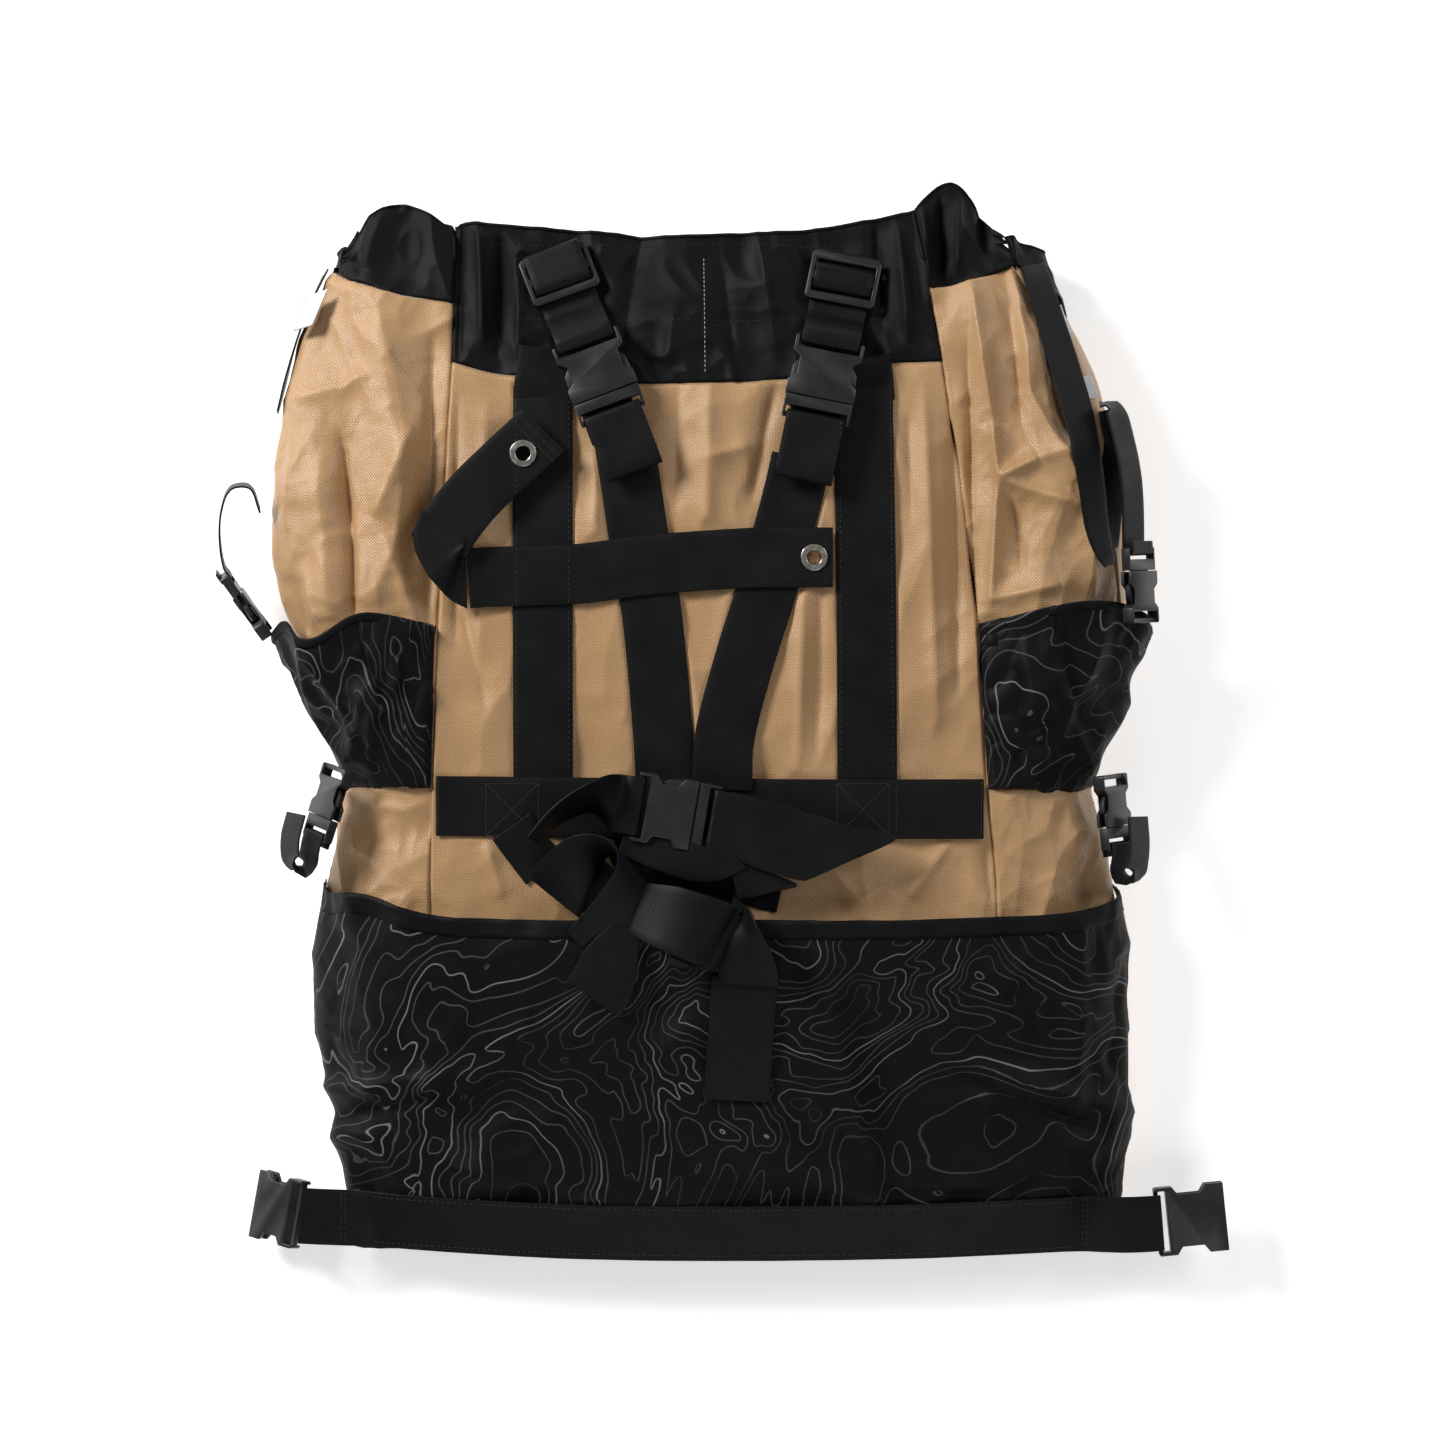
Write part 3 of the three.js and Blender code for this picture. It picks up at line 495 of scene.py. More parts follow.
def foldHeight(point, creases):
    total = 0.0
    for start, end, rise, width in creases:
        ax, ay = point.x - start[0], point.y - start[1]
        bx, by = end[0] - start[0], end[1] - start[1]
        length = bx * bx + by * by
        t = (ax * bx + ay * by) / length
        held = max(0.0, min(1.0, t))
        dx, dy = ax - held * bx, ay - held * by
        near = (dx * dx + dy * dy) / (width * mm) ** 2
        if near > foldLook["reach"] ** 2:
            continue
        full = max(0.0, 1 - (2 * held - 1) ** 4)
        sharp = math.exp(-math.sqrt(near + foldLook["blunt"]) * foldLook["sharpness"])
        total += rise * mm * sharp * (foldLook["endShare"] + (1 - foldLook["endShare"]) * full)
    return total * foldLook["rise"]


driftOffsets = (Vector((31.4, 2.7, 8.1)), Vector((5.3, 47.9, 1.6)), Vector((9.2, 3.8, 23.7)))


def drift(p):
    # three plain noises, because noise_vector shifts with the clock
    return Vector([noise.noise(p + offset) for offset in driftOffsets])


def crumple(point, size, stretch, seed):
    # creases like crushed cloth, longer along the bag than across it
    p = Vector((point.x / size + seed, point.y / (size * stretch), point.z / size))
    p += 0.45 * drift(p * 0.6 + Vector((seed, 0, 0)))
    return 0.45 - abs(noise.noise(p)) * 2.2


def panelSheet(name, keepFace, levels):
    bm = cadCopy(name)
    drop = [f for f in bm.faces if not keepFace(f)]
    bmesh.ops.delete(bm, geom=drop, context="FACES")
    bmesh.ops.join_triangles(bm, faces=bm.faces, angle_face_threshold=math.radians(60),
                             angle_shape_threshold=math.radians(60))
    sheet = addPiece(name + "Sheet", bm, tanFabric, "tan_fabric")
    sub = sheet.modifiers.new("smoothing", "SUBSURF")
    sub.levels = sub.render_levels = levels
    sub.boundary_smooth = "PRESERVE_CORNERS"
    bakeModifiers(sheet)
    made = bmesh.new()
    made.from_mesh(sheet.data)
    bpy.data.objects.remove(sheet)
    made.normal_update()
    return made


rimWidth = 3 * mm


def isRim(face):
    longest = max(e.calc_length() for e in face.edges)
    return 2 * face.calc_area() / longest < rimWidth


bagAxis = (-0.005, 0.028)  # x and z of the line up the middle of the bag


def facesOut(slack=0.0):
    def keep(face):
        if isRim(face):
            return False
        middle = face.calc_center_median()
        return face.normal.dot(middle - Vector((bagAxis[0], middle.y, bagAxis[1]))) > -slack
    return keep


hardWords = ("strap", "web", "loop", "belt", "female", "male", "glide", "grommet")
hardNodes = [n for n in nodes if any(word in n for word in hardWords)]
hardTree = treeOf(*[cadCopy(n) for n in hardNodes])
coverTree = treeOf(*[cadCopy(n) for n in ("stow_panel", "left_bottle_pocket", "right_bottle_pocket")])
shellNames = ["back_panel", "left_side_panel", "right_side_panel", "front_panel", "back_collar", "left_collar",
              "right_collar", "front_collar"]
drapeLook = {
    "floorHeight": 0.4 * mm,
    "clearAbove": 0.5 * mm,
    "clearBelow": 0.3 * mm,
    "share": 0.7,  # of the free room that a fold may take
    "underside": -0.2,  # normals steeper than this belong to the cloth that lies on the ground
}


def drape(bm, creases, crumples, above, below, thickness):
    # pushes each point along its normal, but never into a neighbour
    look = drapeLook
    for v in bm.verts:
        push = foldHeight(v.co, creases) if v.normal.z > look["underside"] else 0.0
        for size, stretch, rise, seed in crumples:
            push += crumple(v.co, size, stretch, seed) * rise * mm
        if v.normal.z < look["underside"]:
            push = min(push, 0.0)
        if push > 0:
            room = min(t.find_nearest(v.co)[3] for t in above)
            push = min(push, max(0.0, room - look["clearAbove"]) * look["share"])
        elif below:
            room = min(t.find_nearest(v.co)[3] for t in below)
            push = max(push, -max(0.0, room - thickness - look["clearBelow"]) * look["share"])
        v.co += v.normal * push
        v.co.z = max(v.co.z, look["floorHeight"])
    bm.normal_update()


def thicken(piece, thickness):
    wall = piece.modifiers.new("wall", "SOLIDIFY")
    wall.thickness = thickness
    wall.offset = -1.0
    bakeModifiers(piece)


skin = {
    "thickness": 1.1 * mm,
    "levels": 4,
    "seamReach": 9 * mm,
    "seamDepth": 1.5 * mm,
    "crumples": {
        "back_panel": [(0.060, 1.6, 4.0, 3.1), (0.026, 1.2, 1.0, 8.4)],
        "side": [(0.055, 2.4, 7.0, 1.1), (0.030, 1.5, 2.2, 4.7), (0.014, 1.0, 0.6, 2.9)],
        "front_panel": [(0.060, 1.6, 3.0, 3.1)],
        "collar": [(0.040, 1.8, 4.2, 6.7), (0.020, 1.2, 1.6, 5.2)],
    },
}

skinPieces = {}
skinSheets = {}
for name in shellNames:
    bm = panelSheet(name, facesOut(), skin["levels"])
    kind = next((word for word in ("collar", "side") if word in name), name)
    drape(bm, folds, skin["crumples"][kind], [hardTree, coverTree], [], skin["thickness"])
    skinSheets[name] = bm


def closeSeams(sheets, reach, depth):
    # brings the edges of neighbouring panels together along their seams
    edges = {}
    for name, bm in sheets.items():
        edges[name] = [e for e in bm.edges if e.is_boundary]
    moves = []
    for name, bm in sheets.items():
        others = [e for other, held in edges.items() if other != name for e in held]
        tree = KDTree(len(others))
        for i, e in enumerate(others):
            tree.insert((e.verts[0].co + e.verts[1].co) / 2, i)
        tree.balance()
        for v in {v for e in edges[name] for v in e.verts}:
            best, gap = None, reach
            for _, i, _ in tree.find_n(v.co, 3):
                a, b = (end.co for end in others[i].verts)
                t = intersect_point_line(v.co, a, b)[1]
                on = a.lerp(b, max(0.0, min(1.0, t)))
                if (on - v.co).length < gap:
                    best, gap = on.copy(), (on - v.co).length
            if best is not None:
                moves.append((v, (best + v.co) / 2 - v.normal * depth))
    for v, to in moves:
        v.co = to


closeSeams(skinSheets, skin["seamReach"], skin["seamDepth"])
for name, bm in skinSheets.items():
    material, slotName = (blackFabric, "black_fabric") if "collar" in name else (tanFabric, "tan_fabric")
    piece = addPiece(titled(name), bm.copy(), material, slotName)
    thicken(piece, skin["thickness"])
    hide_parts(name)
    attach(piece, "pack")
    skinPieces[name] = piece
print("bag skin draped")


# hard pieces: copies of the CAD with their edges rounded
roundLook = {"flat": 1.0, "edge": 30, "shading": 35, "base": 0.5 * mm, "buckle": 0.45 * mm, "eyelet": 0.35 * mm}


def roundedCopy(name, material, slotName, width, segments=2):
    bm = cadCopy(name)
    flat, edge, shading = (math.radians(roundLook[key]) for key in ("flat", "edge", "shading"))
    bmesh.ops.dissolve_limit(bm, angle_limit=flat, verts=bm.verts, edges=bm.edges)
    sharp = [e for e in bm.edges if e.is_manifold and e.calc_face_angle(0) > edge]
    bmesh.ops.bevel(bm, geom=sharp, offset=width, offset_type="OFFSET", segments=segments, profile=0.5,
                    affect="EDGES", clamp_overlap=True, material=-1)
    piece = addPiece(titled(name), bm, material, slotName)
    piece.data.set_sharp_from_angle(angle=shading)
    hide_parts(name)
    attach(piece, bodyOf[name])


roundedCopy("base_panel", blackFabric, "black_fabric", roundLook["base"])

# stow panel and bottle pockets
pocketLook = {
    "thickness": 1.1 * mm,
    "levels": 3,
    "slack": 50 * mm,  # keeps the pockets' faces that lean inwards
    "tackGap": 0.5 * mm,
    "hemFrom": {"left": 0.190, "right": 0.176},  # a pocket's top edge is free from here outwards
    "stowCrumples": [(0.085, 1.0, 6.0, 2.2), (0.040, 1.2, 3.0, 6.1), (0.018, 1.0, 0.9, 3.3)],
    "crumples": [(0.045, 1.4, 5.0, 4.4), (0.022, 1.2, 2.4, 9.3)],
    "seamSide": 0.2,  # edges nearer the middle than this are sewn flat on the back
    # where a free edge hangs lower than its panel, and where it is drawn up
    "sag": {"x": -0.262, "widths": (15 * mm, 24 * mm), "drop": 21 * mm, "from": 0.0, "to": 0.060},
    "stowSag": {"x": -0.232, "widths": (22 * mm, 34 * mm), "drop": -11 * mm, "from": -0.180, "to": -0.130},
    "hemY": 0.03,  # the pockets' hems are above this
}


def sagEdge(bm, sag):
    for v in bm.verts:
        away = v.co.x - sag["x"]
        share = math.exp(-(away / sag["widths"][away > 0]) ** 2)
        height = (v.co.y - sag["from"]) / (sag["to"] - sag["from"])
        v.co.y -= sag["drop"] * share * max(0.0, min(1.0, height))


skinTree = treeOf(*skinSheets.values())

stowSheet = panelSheet("stow_panel", facesOut(), pocketLook["levels"])
sagEdge(stowSheet, pocketLook["stowSag"])
drape(stowSheet, stowFolds, pocketLook["stowCrumples"], [hardTree], [skinTree], pocketLook["thickness"])
stowKept = stowSheet.copy()
stowPanel = addPiece("StowPanel", stowSheet, printedFabric, "printed_fabric")
thicken(stowPanel, pocketLook["thickness"])
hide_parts("stow_panel")
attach(stowPanel, "pack")


def tackEdges(bm, tree, hemFrom):
    # the sewn edges lie on the cloth behind them
    gap = pocketLook["tackGap"]
    for v in bm.verts:
        isHem = v.co.y > pocketLook["hemY"] and abs(v.co.x) > hemFrom
        if v.is_boundary and not isHem:
            hit = None
            if abs(v.co.x) < pocketLook["seamSide"]:
                hit, normal, _, _ = tree.ray_cast(Vector((v.co.x, v.co.y, aboveBag)), down)
            if hit is None:
                hit, normal, _, _ = tree.find_nearest(v.co)
            v.co = hit + normal * (gap if normal.dot(v.normal) > 0 else -gap)
    bm.normal_update()


pocketSheets = {}
for side in ("left", "right"):
    name = side + "_bottle_pocket"
    bm = panelSheet(name, facesOut(pocketLook["slack"]), pocketLook["levels"])
    if side == "left":
        sagEdge(bm, pocketLook["sag"])
    drape(bm, pocketFolds, pocketLook["crumples"], [hardTree], [skinTree], pocketLook["thickness"])
    tackEdges(bm, skinTree, pocketLook["hemFrom"][side])
    pocketSheets[side] = bm.copy()
    piece = addPiece(titled(name), bm, printedFabric, "printed_fabric")
    thicken(piece, pocketLook["thickness"])
    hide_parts(name)
    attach(piece, "pack")
print("stow panel and pockets draped")


# webbing
stripLook = {
    "smooth": 40,  # degrees between faces that count as one side
    "ends": (20 * mm, 46 * mm),  # how wide an end cap may be
    "thickest": 1.7 * mm,
}


def flatGroups(bm):
    # sides of the solid, each a list of faces that meet at a low angle
    unseen = set(bm.faces)
    for first in bm.faces:
        if first not in unseen:
            continue
        unseen.discard(first)
        group, queue = [first], [first]
        while queue:
            face = queue.pop()
            for edge in face.edges:
                for other in edge.link_faces:
                    turn = other.normal.angle(face.normal, 9)
                    if other in unseen and turn < math.radians(stripLook["smooth"]):
                        unseen.discard(other)
                        group.append(other)
                        queue.append(other)
        yield group


def aligned(rows, before):
    # rows whose width directions all point the way that the row before them does
    for row in rows:
        if row[1].dot(before[1]) < 0:
            row[1].negate()
        before = row
    return rows


def ringsFrom(verts):
    # the solid's rings of vertices, walking away from an end cap
    layers, seen = [set(verts)], set(verts)
    while True:
        ring = {e.other_vert(v) for v in layers[-1] for e in v.link_edges} - seen
        if not ring:
            return layers
        seen |= ring
        layers.append(ring)


def stripRows(name):
    # reads a strap's centre, width direction and half width back off its CAD solid, one row after another
    bm = cadCopy(name)
    best = []
    for group in flatGroups(bm):
        verts = {v for f in group for v in f.verts}
        centre = sum((v.co for v in verts), Vector()) / len(verts)
        span = 2 * max((v.co - centre).length for v in verts)
        thickness = sum(f.calc_area() for f in group) / span
        narrowest, widest = stripLook["ends"]
        if narrowest < span < widest and thickness < stripLook["thickest"] and len(verts) in (4, 6):
            layers = ringsFrom(verts)
            if len(layers) > len(best) and all(len(layer) == len(verts) for layer in layers):
                best = layers
    rows = []
    for layer in best:
        points = sorted((v.co.copy() for v in layer), key=tuple)
        centre = sum(points, Vector()) / len(points)
        far = max(points, key=lambda p: (p - centre).length)
        across = (far - centre).normalized()
        for _ in range(20):  # turns the diagonal on to the ring's long side
            across = sum(((p - centre) * (p - centre).dot(across) for p in points), Vector()).normalized()
        half = max((p - centre).dot(across) for p in points)
        rows.append([centre, across, half])
    bm.free()
    aligned(rows[1:], rows[0])
    along = rows[1][0] - rows[0][0]
    if rows[0][1].cross(along).z < 0:
        for row in rows:
            row[1].negate()
    return rows


def evenRows(rows, step):
    # smooth rows at an even step along the strap
    centres = [r[0] for r in rows]

    def spline(values, i, t):
        a, b = values[max(i - 1, 0)], values[i]
        c, d = values[min(i + 1, len(values) - 1)], values[min(i + 2, len(values) - 1)]
        square = 2 * a - 5 * b + 4 * c - d
        cube = 3 * b - a - 3 * c + d
        return 0.5 * ((2 * b) + (c - a) * t + square * t * t + cube * t ** 3)

    spans = [(b - a).length for a, b in zip(centres, centres[1:])]
    made = []
    for i, span in enumerate(spans):
        count = max(1, round(span / step))
        for k in range(count):
            t = k / count
            centre = spline(centres, i, t)
            across = spline([r[1] for r in rows], i, t).normalized()
            half = rows[i][2] * (1 - t) + rows[i + 1][2] * t
            made.append([centre, across, half])
    made.append(rows[-1])
    return made


strapLook = {
    "thickness": 1.25 * mm,
    "tape": 0.5 * mm,
    "step": 2.2 * mm,
    "across": 8,
    "edge": 0.45 * mm,
    "bend": 50,  # degrees past which an edge is rounded
    "wobble": 0.25 * mm,
    "looseWobble": 0.4 * mm,
    "wobbleLength": 0.03,
}


def ribbon(name, rows, thickness=strapLook["thickness"], wave=0.0, seed=0.0, material=webbing):
    rows = evenRows(rows, strapLook["step"])
    count = len(rows) - 1
    bm = bmesh.new()
    bmesh.ops.create_grid(bm, x_segments=strapLook["across"], y_segments=count, size=0.5, calc_uvs=False)
    uvLayer = bm.loops.layers.uv.new("UVMap")
    lengths = [0.0]
    for a, b in zip(rows, rows[1:]):
        lengths.append(lengths[-1] + (b[0] - a[0]).length)
    place = {}
    for v in bm.verts:
        place[v] = (v.co.x + 0.5, min(count, round((v.co.y + 0.5) * count)))
    for face in bm.faces:
        for loop in face.loops:
            u, row = place[loop.vert]
            loop[uvLayer].uv = (u * 2 * rows[row][2], lengths[row])
    for v, (u, row) in place.items():
        centre, across, half = rows[row]
        ahead = rows[min(row + 1, count)][0] - rows[max(row - 1, 0)][0]
        up = across.cross(ahead).normalized()
        side = 2 * u - 1
        lift = wave * noise.noise(Vector((u * 1.3 + seed, lengths[row] / strapLook["wobbleLength"], seed)))
        v.co = centre + across * half * side + up * (lift + thickness / 2)
    bm.normal_update()
    along = rows[min(1, count)][0] - rows[0][0]
    first = next(v for v in bm.verts if place.get(v, (0, 1))[1] == 0)
    if first.normal.dot(rows[0][1].cross(along)) < 0:
        bmesh.ops.reverse_faces(bm, faces=bm.faces)
    bmesh.ops.solidify(bm, geom=bm.faces, thickness=thickness)
    bm.normal_update()
    piece = addPiece(name, bm, material, "webbing")
    soften = piece.modifiers.new("edge", "BEVEL")
    soften.width = strapLook["edge"]
    soften.segments = 2
    soften.limit_method = "ANGLE"
    soften.angle_limit = math.radians(strapLook["bend"])
    bakeModifiers(piece)
    for polygon in piece.data.polygons:
        polygon.use_smooth = True
    return piece


straps = {}
for name in sorted(nodes):
    isStrap = name.endswith(("strap", "web", "loop")) or name.startswith("belt")
    if not isStrap or name in ("grommet_strap", "grommet_strap_end"):
        continue
    piece = ribbon(titled(name), stripRows(name), wave=strapLook["wobble"], seed=float(len(name)))
    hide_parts(name)
    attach(piece, bodyOf[name])
    straps[name] = piece
print("webbing laid:", len(straps))

# buckles, sliders, eyelets
for name in sorted(nodes):
    if "female" in name or name.endswith("_male") or "prong" in name or "glide" in name:
        roundedCopy(name, buckleResin, "buckle_plastic", roundLook["buckle"])
    elif "grommet" in name and "strap" not in name:
        roundedCopy(name, nickel, "nickel", roundLook["eyelet"], segments=3)
print("hardware rounded")

# cross strap, punched for its two eyelets
crossLook = {
    "half": 19 * mm,
    "line": [(-0.161, 0.0912), (-0.150, 0.092), (-0.124, 0.093), (-0.094, 0.094), (-0.072, 0.0965),
             (-0.052, 0.0995), (-0.020, 0.102), (0.022, 0.1045), (0.050, 0.1045), (0.070, 0.1045)],
    "end": [((-0.1795, 0.1110, 0.0815), (0.93, -0.36, 0)), ((-0.173, 0.1225, 0.083), (0.87, -0.48, 0)),
            ((-0.158, 0.142, 0.082), (0.78, -0.6, 0)), ((-0.141, 0.159, 0.081), (0.71, -0.7, 0)),
            ((-0.126, 0.173, 0.081), (0.71, -0.7, 0)), ((-0.113, 0.185, 0.081), (0.71, -0.7, 0))],
    # inner and outer edge of the turn between the two
    "fold": [((-0.1625, 0.1090), (-0.1615, 0.0720)), ((-0.1634, 0.1097), (-0.1705, 0.0765)),
             ((-0.1638, 0.1108), (-0.1800, 0.0860)), ((-0.1634, 0.1124), (-0.1900, 0.1000)),
             ((-0.1622, 0.1142), (-0.1955, 0.1165)), ((-0.1602, 0.1165), (-0.1900, 0.1350))],
    # how far the turn's rows stand above the first row of the line, then of the end
    "lineLifts": (1.0 * mm, 1.6 * mm),
    "endLifts": (2.0 * mm, 2.0 * mm, 1.8 * mm, 1.5 * mm),
    "hole": 6.3 * mm,
    "sunk": 0.7 * mm,  # half a strap, from its top face to its middle
}
crossTree = treeOf(cadCopy("grommet_strap"))
crossRows = []
for i, (x, y) in enumerate(crossLook["line"]):
    a = Vector(crossLook["line"][max(i - 1, 0)])
    b = Vector(crossLook["line"][min(i + 1, len(crossLook["line"]) - 1)])
    along = (b - a).normalized()
    across = Vector((along.y, -along.x, 0))
    hits = [crossTree.ray_cast(Vector((x, y, aboveBag)) + across * side, down)[0] for side in (-0.012, 0.012)]
    heights = [hit.z for hit in hits if hit]
    height = sum(heights) / len(heights) - crossLook["sunk"]
    crossRows.append([Vector((x, y, height)), across, crossLook["half"]])
endRows = []
for point, across in crossLook["end"]:
    endRows.append([Vector(point), Vector(across).normalized(), crossLook["half"]])


def punch(piece, point):
    bm = bmesh.new()
    bmesh.ops.create_cone(bm, cap_ends=True, segments=40, radius1=crossLook["hole"], radius2=crossLook["hole"],
                          depth=0.02, matrix=Matrix.Translation(point))
    mesh = bpy.data.meshes.new("punchTool")
    bm.to_mesh(mesh)
    bm.free()
    tool = bpy.data.objects.new("punchTool", mesh)
    bpy.context.collection.objects.link(tool)
    cut = piece.modifiers.new("hole", "BOOLEAN")
    cut.object = tool
    cut.solver = "EXACT"
    bakeModifiers(piece)
    bpy.data.objects.remove(tool)


def middleOf(name):
    low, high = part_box(name)
    return (Vector(low) + Vector(high)) / 2


for name, rows, eyelet in (("grommet_strap", crossRows, "right_grommet"),
                           ("grommet_strap_end", endRows, "left_grommet")):
    piece = ribbon(titled(name), rows, seed=5.0)
    punch(piece, middleOf(eyelet))
    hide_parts(name)
    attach(piece, bodyOf[name])
    straps[name] = piece
hinge, foldStart = endRows[0], crossRows[0]
foldHeights = [foldStart[0].z + lift for lift in crossLook["lineLifts"]]
foldHeights += [hinge[0].z + lift for lift in crossLook["endLifts"]]
foldRows = []
for (inner, outer), height in zip(crossLook["fold"], foldHeights):
    inner, outer = Vector((*inner, height)), Vector((*outer, height))
    foldRows.append([(inner + outer) / 2, (outer - inner).normalized(), (outer - inner).length / 2])
crossFold = ribbon("CrossStrapFold", foldRows, seed=5.5)
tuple(foldStart[0])
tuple(hinge[0])
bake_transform(crossFold)
print("cross strap punched")


# loose webbing: each stop is a point, the direction across the strap there, and half the width in mm
def stops(*values):
    return [[Vector(point), Vector(across).normalized(), half * mm] for point, across, half in values]


def looseWeb(name, rows, seed, body="pack", replaced=None, wave=strapLook["looseWobble"]):
    if replaced in straps:
        bpy.data.objects.remove(straps.pop(replaced))
    piece = ribbon(name, rows, wave=wave, seed=seed)
    if replaced:
        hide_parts(replaced)
    if body:
        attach(piece, body)
    return piece


def laidWeb(name, points, seed, **choices):
    return looseWeb(name, stops(*points), seed, **choices)


waistBuckleX = -0.036


def keptRows(name, inside):
    # the rows that stay where the CAD strap leaves its buckle, ending at the free side
    rows = [row for row in stripRows(name) if inside(row[0])]
    first, last = (abs(row[0].x - waistBuckleX) for row in (rows[0], rows[-1]))
    return rows if first < last else rows[::-1]


# the belt's left part starts where the CAD strap leaves the buckle's bar, then twists on to its edge
kept = keptRows("belt_left", lambda p: p.x > -0.068)
twist = stops(
    ((-0.080, -0.0465, 0.0915), (0.05, 0.66, 0.72), 16), ((-0.096, -0.053, 0.0925), (-0.1, 0.50, 0.86), 14),
    ((-0.109, -0.063, 0.0915), (-0.2, 0.34, 0.91), 13), ((-0.120, -0.0745, 0.090), (-0.2, 0.16, 0.97), 12))
looseWeb("BeltLeft", kept + aligned(twist, kept[-1]), 2.0, replaced="belt_left")

# the right part spreads into a broad fold and runs out to a point
kept = keptRows("belt_right", lambda p: p.x < 0.008)
level = kept[-1][0].z
spread = stops(
    ((0.020, -0.069, level + 0.4 * mm), (-0.22, -0.97, 0), 21),
    ((0.036, -0.0735, level + 0.6 * mm), (-0.24, -0.97, 0), 22),
    ((0.058, -0.0797, level + 0.6 * mm), (-0.28, -0.96, 0), 21),
    ((0.0835, -0.0772, level), (-0.35, -0.93, 0), 11.5), ((0.1090, -0.0735, level), (-0.35, -0.93, 0), 1.2))
looseWeb("BeltRight", kept + aligned(spread, kept[-1]), 9.1, body=bodyOf["belt_right"], replaced="belt_right")

laidWeb("BeltLoop", [
    ((-0.1065, -0.111, 0.078), (0.78, -0.62, 0.05), 21), ((-0.0985, -0.097, 0.086), (0.68, -0.66, -0.25), 19),
    ((-0.087, -0.083, 0.093), (0.5, -0.6, -0.6), 18), ((-0.075, -0.0775, 0.0940), (0.2, -0.42, -0.88), 17),
    ((-0.063, -0.0835, 0.0935), (0.25, -0.38, -0.88), 16), ((-0.0565, -0.097, 0.092), (0.65, -0.45, -0.6), 15),
    ((-0.066, -0.1145, 0.089), (0.78, -0.52, -0.35), 14), ((-0.078, -0.129, 0.0845), (0.75, -0.6, -0.25), 13.5),
    ((-0.090, -0.141, 0.080), (0.7, -0.68, -0.15), 13)], 3.0, replaced="belt_left_tail")
laidWeb("BeltLoopEnd", [
    ((-0.0555, -0.1175, 0.0845), (0.96, -0.28, 0), 5), ((-0.0600, -0.128, 0.0845), (0.97, -0.24, 0), 9),
    ((-0.0660, -0.139, 0.0840), (0.96, -0.28, 0), 14), ((-0.0715, -0.153, 0.0830), (0.92, -0.39, 0), 19),
    ((-0.0760, -0.165, 0.0815), (0.85, -0.53, 0), 20.5),
    ((-0.0820, -0.1745, 0.0800), (0.80, -0.60, 0), 20.5)], 3.6)

laidWeb("BeltCentre", [
    ((-0.062, -0.1125, 0.074), (0.36, 0.93, 0.1), 14), ((-0.052, -0.117, 0.086), (0.36, 0.93, 0.05), 17),
    ((-0.035, -0.122, 0.096), (0.38, 0.92, 0), 20.5), ((-0.018, -0.128, 0.100), (0.46, 0.89, 0), 21.5),
    ((-0.0065, -0.1325, 0.0985), (0.52, 0.85, 0), 22), ((-0.0015, -0.135, 0.093), (0.53, 0.85, 0), 21.5),
    ((-0.006, -0.1365, 0.087), (0.5, 0.86, 0), 19), ((-0.018, -0.140, 0.083), (0.4, 0.91, 0), 16)],
    4.0, replaced="belt_centre")
laidWeb("BeltCentreUnder", [
    ((-0.030, -0.134, 0.087), (0.2, 0.97, 0), 19), ((-0.012, -0.137, 0.0925), (0.45, 0.88, 0), 20),
    ((0.0022, -0.1385, 0.0925), (0.53, 0.85, 0), 20.5), ((0.0042, -0.1415, 0.0865), (0.53, 0.85, 0), 19),
    ((-0.002, -0.1445, 0.080), (0.5, 0.86, 0), 16)], 4.6)
laidWeb("BeltCentreLast", [
    ((-0.020, -0.139, 0.083), (0.4, 0.9, 0), 17), ((-0.004, -0.1405, 0.0865), (0.5, 0.86, 0), 18),
    ((0.0072, -0.142, 0.0855), (0.55, 0.83, 0), 18.5), ((0.0078, -0.144, 0.0805), (0.55, 0.83, 0), 17)], 4.9)

beltCurl = laidWeb("BeltCurl", [
    ((0.0125, -0.114, 0.088), (0.3, -0.25, 0.92), 17), ((0.0135, -0.124, 0.094), (0.5, -0.3, 0.8), 18),
    ((0.0145, -0.137, 0.096), (0.8, -0.3, 0.45), 19), ((0.016, -0.152, 0.092), (0.95, -0.18, 0.2), 19),
    ((0.0165, -0.166, 0.083), (1, -0.05, 0.05), 19)], 5.3, body=None)
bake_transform(beltCurl)
laidWeb("BeltFlap", [
    ((0.0065, -0.0985, 0.0800), (0.24, -0.97, 0), 14), ((0.0175, -0.0995, 0.0800), (0.18, -0.98, 0), 11),
    ((0.0320, -0.1010, 0.0795), (0.12, -0.99, 0), 6), ((0.0470, -0.1030, 0.0785), (0.1, -0.99, 0), 0.8)], 6.1)
laidWeb("BeltUnder", [
    ((-0.062, -0.0705, 0.0800), (0.35, 0.93, 0), 13), ((-0.042, -0.079, 0.0815), (0.4, 0.92, 0), 13),
    ((-0.020, -0.088, 0.0825), (0.35, 0.93, 0.1), 12), ((-0.005, -0.0895, 0.0825), (-0.1, 0.98, 0.1), 11),
    ((0.010, -0.083, 0.0825), (-0.5, 0.86, 0), 10)], 7.7)

